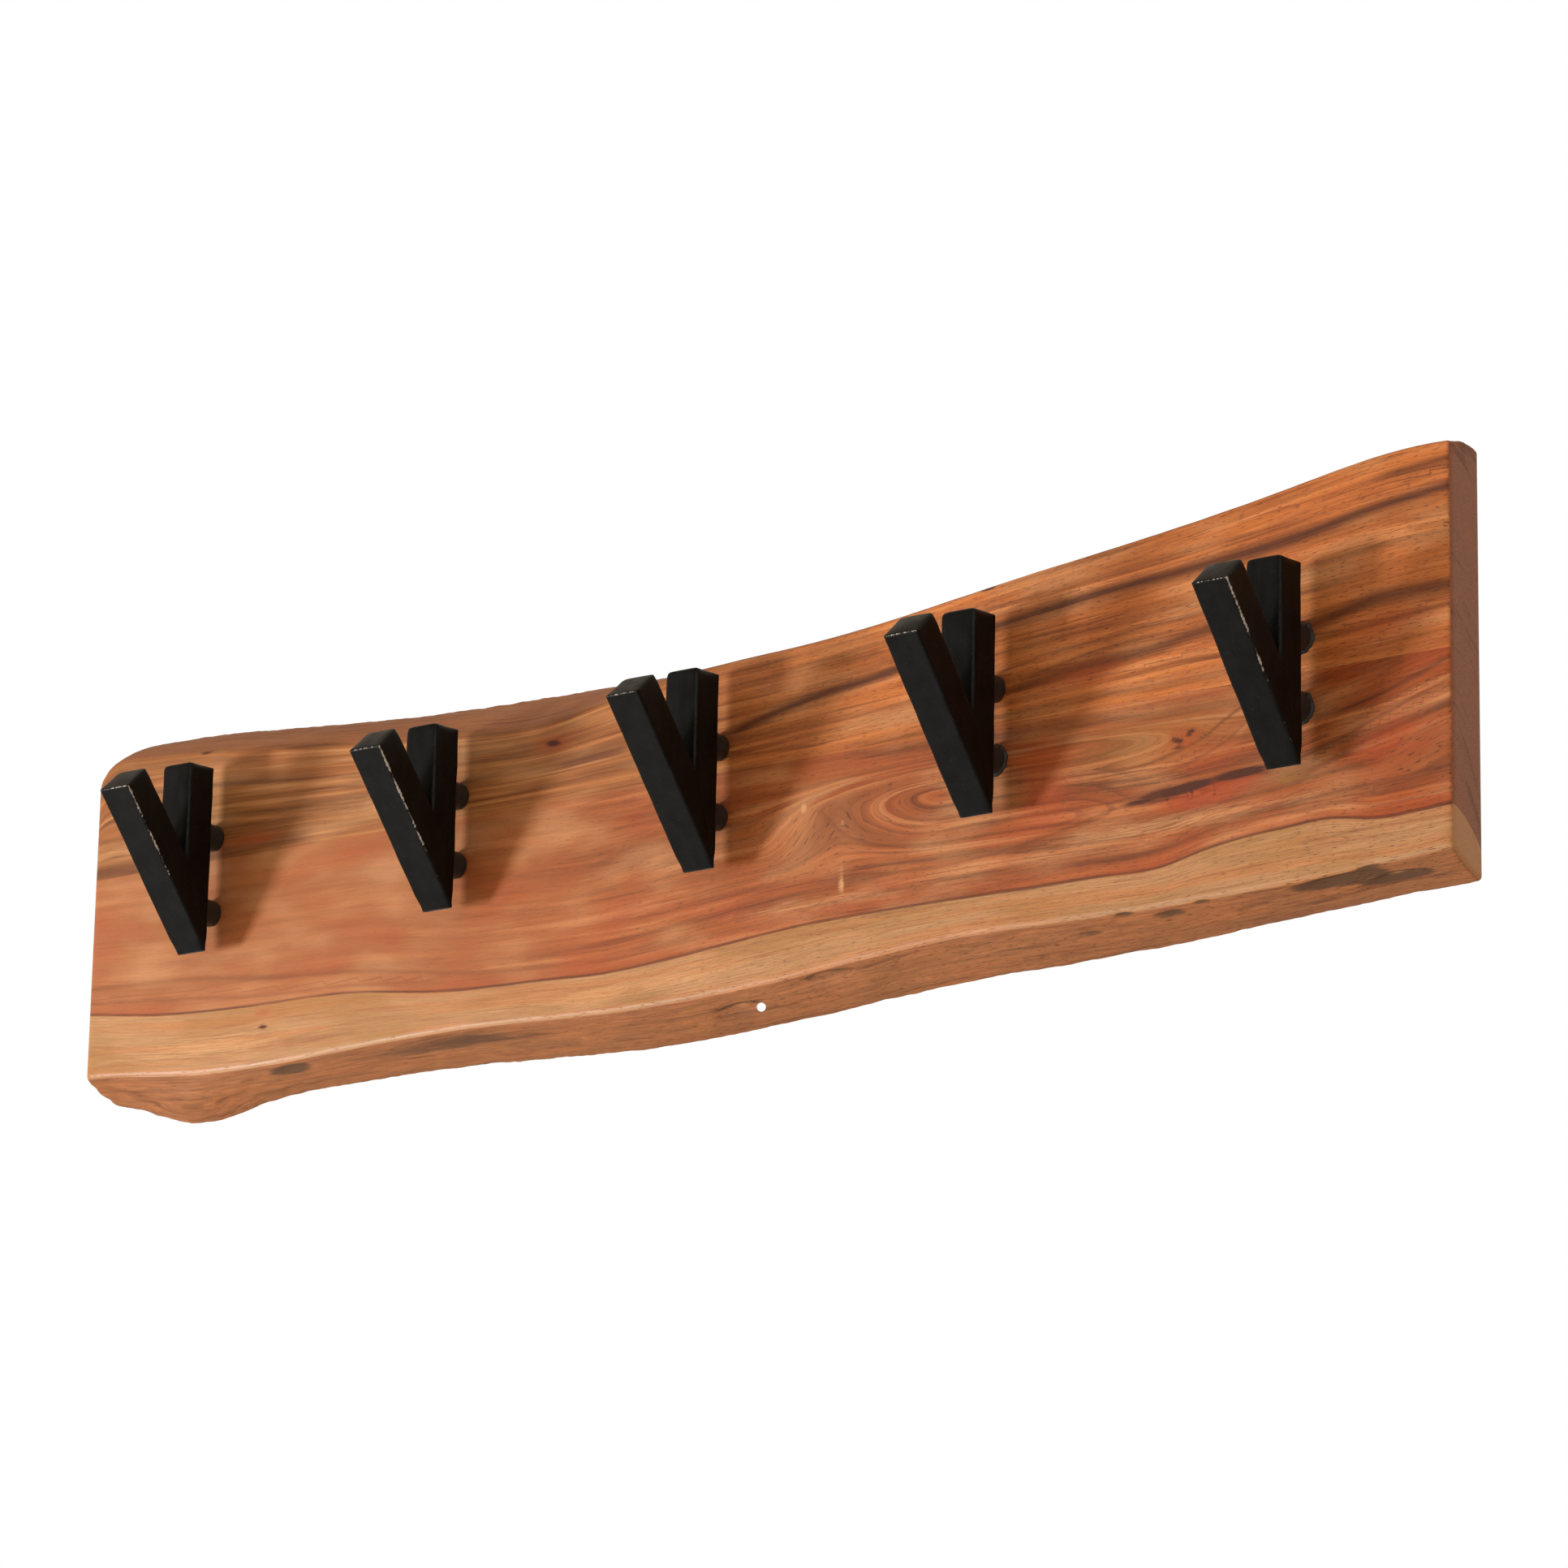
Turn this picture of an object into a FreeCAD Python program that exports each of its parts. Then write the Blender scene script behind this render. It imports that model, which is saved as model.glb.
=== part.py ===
import FreeCAD, Part
import math
import os

# Wall hook rack: a live-edge plank, glued up from two boards, with five black V hooks.
# Millimetres. Origin: middle of the plank's back face, where it lies on the wall.
# +X runs along the plank, -Y points into the room, +Z is up.

# ---- plank ----
PLANK_LENGTH = 750.0
PLANK_THICKNESS = 25.0
GLUE_LINE_Z = 15.0           # the upper and the lower board meet here, edge to edge
WANE_DEPTH = 12.5            # how far behind the front face the wane bulges most
WANE_BULGE = 2.0             # how far the bark side bulges out of a straight slope
CORNER_CUT = 15.0            # rounded corner at the upper left, along both sides
CORNER_SAG = 4.5             # how far that corner's arc stands out of its chord

# Edge stations along the plank: x, front-face height, back-face height.
TOP_EDGE = [(-360, 73, 87), (-300, 69, 85.5), (-240, 63.5, 80.5), (-150, 55, 75.5),
            (-100, 53.5, 75), (-60, 60, 73.5), (-10, 65.5, 71), (60, 69, 73),
            (150, 79.5, 83.5), (230, 88.5, 92.5), (300, 98.5, 102.5), (345, 105, 109),
            (375, 105.5, 108)]
BOTTOM_EDGE = [(-375, -83, -92), (-350, -84, -99), (-320, -87, -107), (-285, -89, -102),
               (-230, -88, -98), (-150, -85.5, -98), (-60, -88, -102), (40, -84.5, -98),
               (120, -78, -92.5), (210, -78, -90), (300, -76, -84.5), (375, -71, -81)]

# A branch channel that comes out as a small hole in the lower live edge.
CHANNEL_RADIUS = 2.0
CHANNEL_MOUTH = (18.0, -17.0, -94.0)
CHANNEL_DIRECTION = (-0.57, 0.79, 0.23)
CHANNEL_LENGTH = 60.0

# ---- hooks ----
BAR_WIDTH = 18.0
BAR_DEPTH = 17.5
BAR_EDGE_RADIUS = 1.5
BAR_END_RADIUS = 2.5
LEAN_ANGLE = 41.5            # front bar, from upright
BACK_BAR_HEIGHT = 88.5
FRONT_BAR_LENGTH = 90.5
TOE_BLUNT = 2.0              # the sharp toe of the V is ground off by this height

STANDOFF_RADIUS = 6.4
STANDOFF_LENGTH = 12.5

# One row per hook: x, toe height, size against nominal, upper and lower standoff
# heights above the toe. The hooks differ a little in size and height.
HOOKS = [(-299.6, -33.0, 1.01, 58.5, 21.5),
         (-151.4, -31.6, 0.96, 56.6, 23.6),
         (-2.6, -33.0, 1.015, 59.5, 27.0),
         (146.4, -28.6, 1.01, 59.6, 27.6),
         (301.4, -29.4, 1.0, 59.4, 28.4)]

# ---- M5 button-head screws and washers that hold the hooks ----
SCREW_RADIUS = 2.5
SCREW_LENGTH = 30.0
THREAD_CLEARANCE = 0.05
CLEARANCE_HOLE_RADIUS = 2.8
SCREW_HEAD_RADIUS = 4.75
SCREW_HEAD_HEIGHT = 2.75
SCREW_HEX_FLATS = 3.0
SCREW_HEX_DEPTH = 1.6
WASHER_OUTER_RADIUS = 5.0
WASHER_INNER_RADIUS = 2.65
WASHER_THICKNESS = 1.0
COUNTERBORE_RADIUS = 5.6
COUNTERBORE_DEPTH = 8.0

# ---- keyhole hangers let into the back ----
HANGER_X = 225.0
HANGER_Z = 42.0
HANGER_LENGTH = 44.0
HANGER_WIDTH = 16.0
HANGER_THICKNESS = 2.0
HANGER_FIT = 0.2             # gap around the plate in its recess
KEYHOLE_RADIUS = 5.0
KEYHOLE_SLOT_RADIUS = 2.3
KEYHOLE_RISE = 9.0           # from the round mouth's centre to the slot's top centre
KEYHOLE_MOUTH_Z = -4.0       # the mouth's centre, from the plate's centre
HEAD_POCKET_RADIUS = 6.0
HEAD_POCKET_DEPTH = 10.0
HANGER_SCREW_SPACING = 34.0
HANGER_SCREW_RADIUS = 1.7
HANGER_SCREW_HEAD_RADIUS = 3.3
HANGER_SCREW_LENGTH = 15.0
PILOT_CLEARANCE = 0.05

FRONT_Y = -PLANK_THICKNESS
BAR_REAR_Y = FRONT_Y - STANDOFF_LENGTH
SCREW_SEAT_Y = -COUNTERBORE_DEPTH + WASHER_THICKNESS


def vec(x, y, z):
    return FreeCAD.Vector(x, y, z)


def rod(radius, length, base, direction=(0, 1, 0)):
    """A round bar that starts at base and runs along direction."""
    return Part.makeCylinder(radius, length, vec(*base), vec(*direction))


def save(name, *solids):
    """Writes one node. Several solids make one group."""
    for solid in solids:
        if not solid.isValid():
            raise RuntimeError(name + " isn't a valid solid")
    shape = solids[0] if len(solids) == 1 else Part.makeCompound(list(solids))
    shape.exportStep("parts/" + name + ".step")
    print(name, len(solids), round(sum(solid.Volume for solid in solids)))


# ---- plank ----

def spline(points):
    curve = Part.BSplineCurve()
    curve.interpolate(points)
    return curve.toShape()


def edge_heights(stations, face):
    """face 0 is the front, 1 the back; between them the bark side bulges."""
    return [(x, front + (back - front) * face) for x, front, back in stations]


def plank_section(y):
    face = (y + PLANK_THICKNESS) / PLANK_THICKNESS
    bulge = WANE_BULGE * (1.0 - ((y + WANE_DEPTH) / WANE_DEPTH) ** 2)
    top = [vec(x, y, z + bulge) for x, z in edge_heights(TOP_EDGE, face)]
    bottom = [vec(x, y, z - bulge) for x, z in edge_heights(BOTTOM_EDGE, face)]
    half = PLANK_LENGTH / 2
    corner_low = vec(-half, y, top[0].z - CORNER_CUT)
    middle = (corner_low + top[0]) * 0.5
    corner_mid = middle + vec(-CORNER_SAG, 0, CORNER_SAG) * math.sqrt(0.5)
    return Part.Wire([Part.makeLine(bottom[0], corner_low),
                      Part.Arc(corner_low, corner_mid, top[0]).toShape(),
                      spline(top),
                      Part.makeLine(top[-1], bottom[-1]),
                      spline(bottom[::-1])])


def hook_screw_places():
    for x, toe_z, size, upper, lower in HOOKS:
        yield x, toe_z + upper
        yield x, toe_z + lower


def keyhole_cutter(radius, slot_radius, y_low, y_high):
    """The round mouth with the slot above it, as a solid from y_low to y_high."""
    depth = y_high - y_low
    top_z = KEYHOLE_MOUTH_Z + KEYHOLE_RISE
    mouth = rod(radius, depth, (0, y_low, KEYHOLE_MOUTH_Z))
    top = rod(slot_radius, depth, (0, y_low, top_z))
    slot = Part.makeBox(2 * slot_radius, depth, KEYHOLE_RISE,
                        vec(-slot_radius, y_low, KEYHOLE_MOUTH_Z))
    return mouth.fuse([top, slot])


def hanger_screw_heights():
    return (-HANGER_SCREW_SPACING / 2, HANGER_SCREW_SPACING / 2)


def hanger_recess():
    """What one hanger takes out of the plank's back."""
    length = HANGER_LENGTH + 2 * HANGER_FIT
    width = HANGER_WIDTH + 2 * HANGER_FIT
    over = 1.0
    recess = Part.makeBox(width, HANGER_THICKNESS + over, length,
                          vec(-width / 2, -HANGER_THICKNESS, -length / 2))
    pocket = keyhole_cutter(HEAD_POCKET_RADIUS, HEAD_POCKET_RADIUS,
                            -HEAD_POCKET_DEPTH, over)
    pilots = [rod(HANGER_SCREW_RADIUS + PILOT_CLEARANCE, HANGER_SCREW_LENGTH + over,
                  (0, -HANGER_SCREW_LENGTH - over, z)) for z in hanger_screw_heights()]
    return recess.fuse([pocket] + pilots)


def half_space(upper):
    """A block that holds everything above, or below, the glue line."""
    reach = 2 * PLANK_LENGTH
    low = GLUE_LINE_Z if upper else GLUE_LINE_Z - reach
    return Part.makeBox(reach, reach, reach, vec(-reach / 2, -reach / 2, low))


def make_boards():
    """The two boards, upper and lower, with all that is drilled and let into them."""
    sections = [plank_section(y) for y in (FRONT_Y, -WANE_DEPTH, 0.0)]
    plank = Part.makeLoft(sections, True, False)
    cutters = []
    over = 1.0
    for x, z in hook_screw_places():
        cutters.append(rod(CLEARANCE_HOLE_RADIUS, PLANK_THICKNESS + 2 * over,
                           (x, FRONT_Y - over, z)))
        cutters.append(rod(COUNTERBORE_RADIUS, COUNTERBORE_DEPTH + over,
                           (x, -COUNTERBORE_DEPTH, z)))
    for x in (-HANGER_X, HANGER_X):
        cutters.append(hanger_recess().translated(vec(x, 0, HANGER_Z)))
    direction = vec(*CHANNEL_DIRECTION)
    start = vec(*CHANNEL_MOUTH) - direction * (CHANNEL_LENGTH / 2)
    cutters.append(Part.makeCylinder(CHANNEL_RADIUS, CHANNEL_LENGTH, start, direction))
    plank = plank.cut(cutters)
    return [plank.common(half_space(upper)).Solids[0] for upper in (True, False)]


# ---- hooks ----

def bar(length):
    """A square bar along +Z with its outer face on y = 0 and its inner face behind it.

    The long edges are rounded a little and the top end more, as if dressed on a belt.
    """
    block = Part.makeBox(BAR_WIDTH, BAR_DEPTH, length, vec(-BAR_WIDTH / 2, 0, 0))
    long_edges = [edge for edge in block.Edges
                  if edge.BoundBox.ZLength > length - 1]
    block = block.makeFillet(BAR_EDGE_RADIUS, long_edges)
    top_edges = [edge for edge in block.Edges if edge.BoundBox.ZMin > length - 0.01]
    return block.makeFillet(BAR_END_RADIUS, top_edges)


def mitre_half(size, front):
    """A large block on one side of the plane that halves the V's angle."""
    reach = 200.0 * size
    angle = LEAN_ANGLE / 2
    block = Part.makeBox(reach, reach, 2 * reach, vec(-reach / 2, 0, -reach))
    if front:
        block = block.translated(vec(0, -reach, 0))
    block.rotate(vec(0, 0, 0), vec(1, 0, 0), angle)
    return block


def toe_cutter():
    reach = 60.0
    return Part.makeBox(reach, reach, reach, vec(-reach / 2, -reach / 2, -reach))


def make_hook_bars(size):
    """The V's two bars with their toe's lowest point at z = 0, rear face on y = 0."""
    sharp_toe = -TOE_BLUNT
    back = bar(BACK_BAR_HEIGHT * size - sharp_toe + BAR_DEPTH)
    back = back.translated(vec(0, -BAR_DEPTH, -BAR_DEPTH))
    # the front bar's outer face runs through the sharp toe
    front = bar(FRONT_BAR_LENGTH * size - sharp_toe + BAR_DEPTH)
    front = front.translated(vec(0, 0, -BAR_DEPTH))
    front.rotate(vec(0, 0, 0), vec(1, 0, 0), LEAN_ANGLE)
    back = back.common(mitre_half(size, False))
    front = front.common(mitre_half(size, True))
    bars = []
    for piece in (back, front):
        piece = piece.translated(vec(0, 0, sharp_toe))
        bars.append(piece.cut(toe_cutter()))
    return bars


def make_standoff():
    """A round boss with a tapped hole right through, from the bar back to the plank."""
    boss = rod(STANDOFF_RADIUS, STANDOFF_LENGTH, (0, 0, 0))
    return boss.cut(rod(SCREW_RADIUS + THREAD_CLEARANCE, STANDOFF_LENGTH, (0, 0, 0)))


# ---- fasteners ----

def hexagon(flats, depth, y):
    radius = flats / math.sqrt(3.0)
    corners = [vec(radius * math.cos(math.radians(60 * k)), y,
                   radius * math.sin(math.radians(60 * k))) for k in range(7)]
    return Part.Face(Part.makePolygon(corners)).extrude(vec(0, depth, 0))


def make_machine_screw():
    """Button head behind, thread pointing into the room; head's seat at y = 0."""
    shank = rod(SCREW_RADIUS, SCREW_LENGTH, (0, 0, 0), (0, -1, 0))
    tip = [edge for edge in shank.Edges if edge.BoundBox.YMax < -SCREW_LENGTH + 0.01]
    shank = shank.makeChamfer(0.5, tip)
    head = rod(SCREW_HEAD_RADIUS, SCREW_HEAD_HEIGHT, (0, 0, 0))
    rim = [edge for edge in head.Edges if edge.BoundBox.YMin > SCREW_HEAD_HEIGHT - 0.01]
    head = head.makeFillet(SCREW_HEAD_HEIGHT * 0.7, rim)
    socket = hexagon(SCREW_HEX_FLATS, SCREW_HEX_DEPTH + 0.5,
                     SCREW_HEAD_HEIGHT - SCREW_HEX_DEPTH)
    return shank.fuse(head).cut(socket).removeSplitter()


def make_washer():
    disc = rod(WASHER_OUTER_RADIUS, WASHER_THICKNESS, (0, 0, 0))
    return disc.cut(rod(WASHER_INNER_RADIUS, WASHER_THICKNESS, (0, 0, 0)))


def countersink(extra):
    """A cone that opens towards the wall; its wide end is flush with y = 0."""
    height = HANGER_SCREW_HEAD_RADIUS - HANGER_SCREW_RADIUS
    return Part.makeCone(HANGER_SCREW_RADIUS + extra, HANGER_SCREW_HEAD_RADIUS + extra,
                         height, vec(0, -height, 0), vec(0, 1, 0))


def make_hanger_plate():
    plate = Part.makeBox(HANGER_WIDTH, HANGER_THICKNESS, HANGER_LENGTH,
                         vec(-HANGER_WIDTH / 2, -HANGER_THICKNESS, -HANGER_LENGTH / 2))
    corners = [edge for edge in plate.Edges if edge.BoundBox.YLength > 1]
    plate = plate.makeFillet(HANGER_WIDTH * 0.3, corners)
    cutters = [keyhole_cutter(KEYHOLE_RADIUS, KEYHOLE_SLOT_RADIUS,
                              -HANGER_THICKNESS - 1, 1)]
    for z in hanger_screw_heights():
        hole = rod(HANGER_SCREW_RADIUS + PILOT_CLEARANCE, HANGER_THICKNESS + 2,
                   (0, -HANGER_THICKNESS - 1, z))
        cutters.append(hole)
        cutters.append(countersink(PILOT_CLEARANCE).translated(vec(0, 0, z)))
    return plate.cut(cutters)


def make_wood_screw():
    """Countersunk head flush with y = 0, point into the plank, cross recess."""
    point = 3.0
    body = HANGER_SCREW_LENGTH - point
    shank = rod(HANGER_SCREW_RADIUS, body, (0, 0, 0), (0, -1, 0))
    tip = Part.makeCone(HANGER_SCREW_RADIUS, 0.2, point, vec(0, -body, 0), vec(0, -1, 0))
    screw = shank.fuse([tip, countersink(0.0)])
    arm = 3.6
    blade = 0.8
    depth = 1.2
    slot_a = Part.makeBox(arm, depth, blade, vec(-arm / 2, -depth, -blade / 2))
    slot_b = Part.makeBox(blade, depth, arm, vec(-blade / 2, -depth, -arm / 2))
    return screw.cut([slot_a, slot_b]).removeSplitter()


def main():
    os.makedirs("parts", exist_ok=True)
    upper_board, lower_board = make_boards()
    save("upper_board", upper_board)
    save("lower_board", lower_board)

    standoff = make_standoff()
    screw = make_machine_screw()
    washer = make_washer()
    for number, (x, toe_z, size, upper, lower) in enumerate(HOOKS, 1):
        hook = "hook_" + str(number)
        back, front = make_hook_bars(size)
        place = vec(x, BAR_REAR_Y, toe_z)
        save(hook + "_back_bar", back.translated(place))
        save(hook + "_front_bar", front.translated(place))
        heights = (toe_z + upper, toe_z + lower)
        save(hook + "_upper_standoff", standoff.translated(vec(x, BAR_REAR_Y, heights[0])))
        save(hook + "_lower_standoff", standoff.translated(vec(x, BAR_REAR_Y, heights[1])))
        save(hook + "_screws",
             *[screw.translated(vec(x, SCREW_SEAT_Y, z)) for z in heights])
        save(hook + "_washers",
             *[washer.translated(vec(x, -COUNTERBORE_DEPTH, z)) for z in heights])

    plate = make_hanger_plate()
    wood_screw = make_wood_screw()
    for side, x in (("left", -HANGER_X), ("right", HANGER_X)):
        save(side + "_hanger_plate", plate.translated(vec(x, 0, HANGER_Z)))
        save(side + "_hanger_screws",
             *[wood_screw.translated(vec(x, 0, HANGER_Z + z))
               for z in hanger_screw_heights()])


main()
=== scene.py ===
"""Wall hook rack: a live-edge plank glued up from two acacia boards, with five black
V hooks on round standoffs, screwed on from behind, and two keyhole hangers in its back.

Lengths in the tables are millimetres: x along the plank, y out of the wall (the front
face is at -25), z up. The meshes are in metres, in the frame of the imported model.
"""
import math

import bmesh
import bpy
import numpy as np
from mathutils import Matrix, Vector, noise


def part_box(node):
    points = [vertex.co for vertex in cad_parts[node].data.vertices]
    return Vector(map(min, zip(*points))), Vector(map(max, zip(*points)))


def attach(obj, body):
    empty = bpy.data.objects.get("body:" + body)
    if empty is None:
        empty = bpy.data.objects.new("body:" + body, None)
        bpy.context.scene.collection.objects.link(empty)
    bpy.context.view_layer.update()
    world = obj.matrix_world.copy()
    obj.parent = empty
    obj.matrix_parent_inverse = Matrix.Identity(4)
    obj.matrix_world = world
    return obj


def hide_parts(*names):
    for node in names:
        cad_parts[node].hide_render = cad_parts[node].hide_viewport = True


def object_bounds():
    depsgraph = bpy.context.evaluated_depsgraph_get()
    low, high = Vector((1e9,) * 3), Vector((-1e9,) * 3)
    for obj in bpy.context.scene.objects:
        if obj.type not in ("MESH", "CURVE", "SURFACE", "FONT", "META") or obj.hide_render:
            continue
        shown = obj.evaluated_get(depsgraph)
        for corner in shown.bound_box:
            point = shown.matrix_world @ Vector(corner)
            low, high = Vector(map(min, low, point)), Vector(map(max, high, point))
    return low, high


bl_info = {
    "name": "Wall hook rack",
    "version": (1, 0, 0),
    "blender": (4, 5, 0),
    "location": "View3D > Sidebar > Hook rack",
    "description": "Builds a live-edge coat rack with five V hooks",
    "category": "Object",
}

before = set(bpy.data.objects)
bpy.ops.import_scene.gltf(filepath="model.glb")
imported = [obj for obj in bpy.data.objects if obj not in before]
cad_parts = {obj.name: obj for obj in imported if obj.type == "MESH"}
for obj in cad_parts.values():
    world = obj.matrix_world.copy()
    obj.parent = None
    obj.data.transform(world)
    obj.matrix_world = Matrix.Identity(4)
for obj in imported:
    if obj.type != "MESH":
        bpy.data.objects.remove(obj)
CAD_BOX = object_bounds()

MM = 0.001
HOOK_NUMBERS = (1, 2, 3, 4, 5)
LEVELS = ("upper", "lower")


def box_mm(node):
    """Lowest and highest corner of a CAD node, in millimetres."""
    low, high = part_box(node)
    return low / MM, high / MM


UPPER_BOX = box_mm("upper_board")
HALF_LENGTH = UPPER_BOX[1].x
THICKNESS = UPPER_BOX[1].y - UPPER_BOX[0].y
GLUE_LINE = UPPER_BOX[0].z
FRONT = -THICKNESS

# ---- figure of the wood, on the front face: x, z ----
SAP_LINE = [(-375, -51.5), (-330, -57), (-280, -59.5), (-215, -60.5), (-155, -67),
            (-100, -69), (-60, -70), (-30, -68), (0, -65.5), (45, -62), (95, -61),
            (150, -61), (195, -61), (235, -60.5), (255, -56), (293, -52), (313, -51),
            (338, -54), (375, -52.5)]

# Dark streaks: points, half width, strength.
STREAKS_LOWER = [
    ([(-375, -39), (-320, -41), (-260, -47), (-200, -52), (-140, -60), (-90, -63)], 1.4, 0.3),
    ([(-375, -46), (-320, -50), (-270, -55), (-210, -57), (-160, -62)], 0.9, 0.25),
    ([(300, -31), (330, -21), (375, -9)], 1.8, 0.5),
    ([(296, -24), (335, -12), (375, 2)], 1.0, 0.4),
    ([(318, -6), (345, 1), (375, 11)], 1.6, 0.6),
    ([(150, -44), (200, -45), (250, -44), (300, -41), (375, -36)], 0.9, 0.4),
    ([(180, -54), (230, -53), (262, -47), (310, -45), (375, -43)], 1.2, 0.35),
    ([(-56, 1), (-43, 1)], 1.1, 0.5),
    ([(60, -41), (120, -45), (180, -38), (215, -30)], 0.9, 0.35),
    ([(40, -54), (100, -52), (160, -50), (215, -49)], 0.8, 0.4),
    ([(150, -11), (190, -14), (225, -14), (252, -7), (272, 4), (296, 12)], 0.9, 0.6),
    ([(160, -15), (200, -19), (236, -19), (262, -11), (282, 1), (302, 9)], 0.8, 0.35),
    ([(216, -30), (232, -27.5), (250, -27.5), (268, -25), (288, -27)], 1.5, 1.0),
    ([(222, -32), (238, -31), (252, -32), (262, -29)], 0.8, 0.8),
    ([(244, -34), (258, -36), (276, -35)], 0.6, 0.5),
    ([(296, -60), (330, -58), (375, -57)], 0.8, 0.3),
]
STREAKS_UPPER = [
    ([(0, 32), (45, 42), (85, 47), (145, 59.5), (195, 66), (245, 69.5), (305, 76),
      (340, 82), (375, 86)], 2.8, 0.85),
    ([(150, 29.5), (195, 34.5), (235, 38), (250, 41), (305, 34.5), (340, 42),
      (375, 43)], 3.2, 0.7),
    ([(-97, 31), (-75, 33), (-52, 34)], 2.6, 0.6),
    ([(-375, 18), (-300, 18.5), (-240, 19)], 3.6, 0.6),
    ([(-273, 68.5), (-245, 64.5), (-220, 62)], 1.3, 0.65),
    ([(340, 95), (375, 98)], 1.6, 0.6),
    ([(150, 51), (200, 54)], 1.0, 0.55),
    ([(40, 47), (90, 53), (150, 66), (220, 75), (300, 83)], 0.9, 0.35),
    ([(160, 34), (205, 41), (240, 43), (262, 42)], 1.0, 0.5),
    ([(205, 26), (240, 29), (300, 28), (375, 34)], 1.2, 0.45),
    ([(20, 27), (70, 30), (120, 35), (170, 42)], 1.0, 0.4),
    ([(60, 57), (110, 63), (170, 72)], 0.8, 0.3),
    ([(-120, 22), (-60, 24), (0, 22), (60, 20)], 0.9, 0.35),
    ([(-375, 34), (-320, 32), (-260, 29), (-200, 28)], 1.6, 0.4),
    ([(-350, 55), (-290, 52), (-230, 46), (-170, 41), (-110, 41)], 1.3, 0.4),
    ([(-260, 38), (-200, 34), (-140, 31)], 1.1, 0.35),
]

# Marks: x, z, half length, half height, tilt in degrees, strength.
DARK_MARKS_LOWER = [
    (-268, 5, 5, 1.4, 12, 0.55), (-265, -70.5, 4, 1.8, 0, 0.8), (-342, -11, 9, 6, 0, 0.2),
    (-188, -6, 8, 5, 0, 0.25), (241, -6, 4.6, 2.2, -15, 0.8), (247, -3.4, 4.2, 1.8, 30, 0.85),
    (243, -8.8, 6, 1.1, 8, 0.8),
    (222, -30.5, 13, 1.6, 4, 0.9), (245, -27.5, 16, 2.3, 6, 1.3), (272, -25, 15, 2.1, 4, 1.3),
    (236, -31, 1.0, 3, 0, 0.7), (248, -31, 0.8, 3, 0, 0.6), (259, -31, 0.9, 3.5, 0, 0.6),
]
RED_MARKS_LOWER = [
    (-265, -63, 8, 3, 0, 0.5), (253, -33, 22, 4.4, 4, 1.2), (244, -5, 9, 6, 0, 0.9),
    # The mark at x 172 is partly the red streaks behind hook 4, partly painted shade deepening
    # hook 4's cast shadow.
    (-50, 1, 12, 3, 0, 0.4), (172, -12, 18, 22, 0, 0.7), (350, -20, 26, 16, 15, 0.5),
    (262, -29, 28, 4, 4, 0.8),
]
OLIVE_MARKS_LOWER = [(-248, -80, 5, 3, 0, 0.5), (295, -30, 6, 4, 0, 0.8),
                     (373, -67, 5, 5, 0, 0.5), (225, -4, 70, 15, 3, 0.5),
                     (-330, -12, 22, 8, 0, 0.2)]
PALE_MARKS_LOWER = [(45, -8, 1.6, 3.4, 0, 0.9), (66, -46, 1.7, 4.4, 0, 0.9),
                    (66, -18, 1.4, 2.2, 0, 0.6), (66, -40, 1.8, 12, 0, 0.45),
                    (240, -42, 95, 6, 2, 0.5), (60, -53, 80, 4.5, 0, 0.45),
                    (215, -17, 50, 3, 0, 0.3), (275, -4, 12, 3, 40, 0.4),
                    (-300, -76, 70, 7, 0, 0.5), (-40, -78, 110, 5, 2, 0.5)]
DARK_MARKS_UPPER = [(-97, 43, 6, 2.2, -5, 0.8), (-307, 70.5, 5, 2, 5, 0.9),
                    (-159, 66, 9, 1.4, 2, 0.55), (142, 79, 6, 2.0, 5, 0.9)]
RED_MARKS_UPPER = [(-97, 43, 14, 6, 0, 0.5), (190, 30, 30, 7, 5, 0.55),
                   # The mark at x -275 is painted shade: it reddens hook 1's cast shadow.
                   (345, 30, 32, 10, 8, 0.5), (-275, 22, 26, 4, 0, 0.5),
                   (-240, 50, 22, 10, 0, 0.25)]
OLIVE_MARKS_UPPER = [(-300, 42, 60, 18, 0, 0.35), (60, 24, 40, 8, 0, 0.25)]
PALE_MARKS_UPPER = [(-190, 30, 60, 9, 0, 0.45), (120, 66, 60, 8, 5, 0.4),
                    (-330, 26, 45, 6, 0, 0.5), (330, 68, 60, 6, 5, 0.45),
                    (270, 54, 70, 7, 5, 0.5), (90, 24, 60, 5, 0, 0.4),
                    (345, 24, 40, 4, 8, 0.35)]

# Bumps of the growth rings: x, z, half length, half height above and below, height.
RING_HILLS = [(-95, -22, 66, 26, 24, 2.4)]

# The cathedral: its middle, reach left, right, up and down, and how many rings.
CATHEDRAL = (120, -12, 88, 165, 15, 34, 6.5)

# Along the lower bark edge: x, depth behind the front face, half length, half width.
HOLLOWS = [  # and how deep each goes
    (56, 4.2, 15, 2.6, 2.4), (4, 9.8, 15, 2.6, 2.6), (318, 4.4, 20, 2.8, 2.2),
    (344, 9.5, 15, 2.8, 2.4), (213, 1.8, 6, 1.4, 1.0), (235, 4.5, 9, 1.5, 1.2),
    (252, 1.8, 6, 1.4, 0.9), (334, 0.5, 8, 1.8, 1.2), (-251, 4.6, 13, 2.0, 1.0),
    (128, 7.3, 8, 2.0, 0.8), (192, 7.9, 8, 1.6, 0.9), (-205, 14, 16, 3, 0.9),
    (-120, 12, 18, 2.4, 0.8), (275, 9, 12, 2, 1.0), (90, 14, 14, 2.6, 0.9)]
LUMPS = [(-318, 13, 16, 7, 1.2), (-345, 8, 12, 5, 0.8)]
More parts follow.
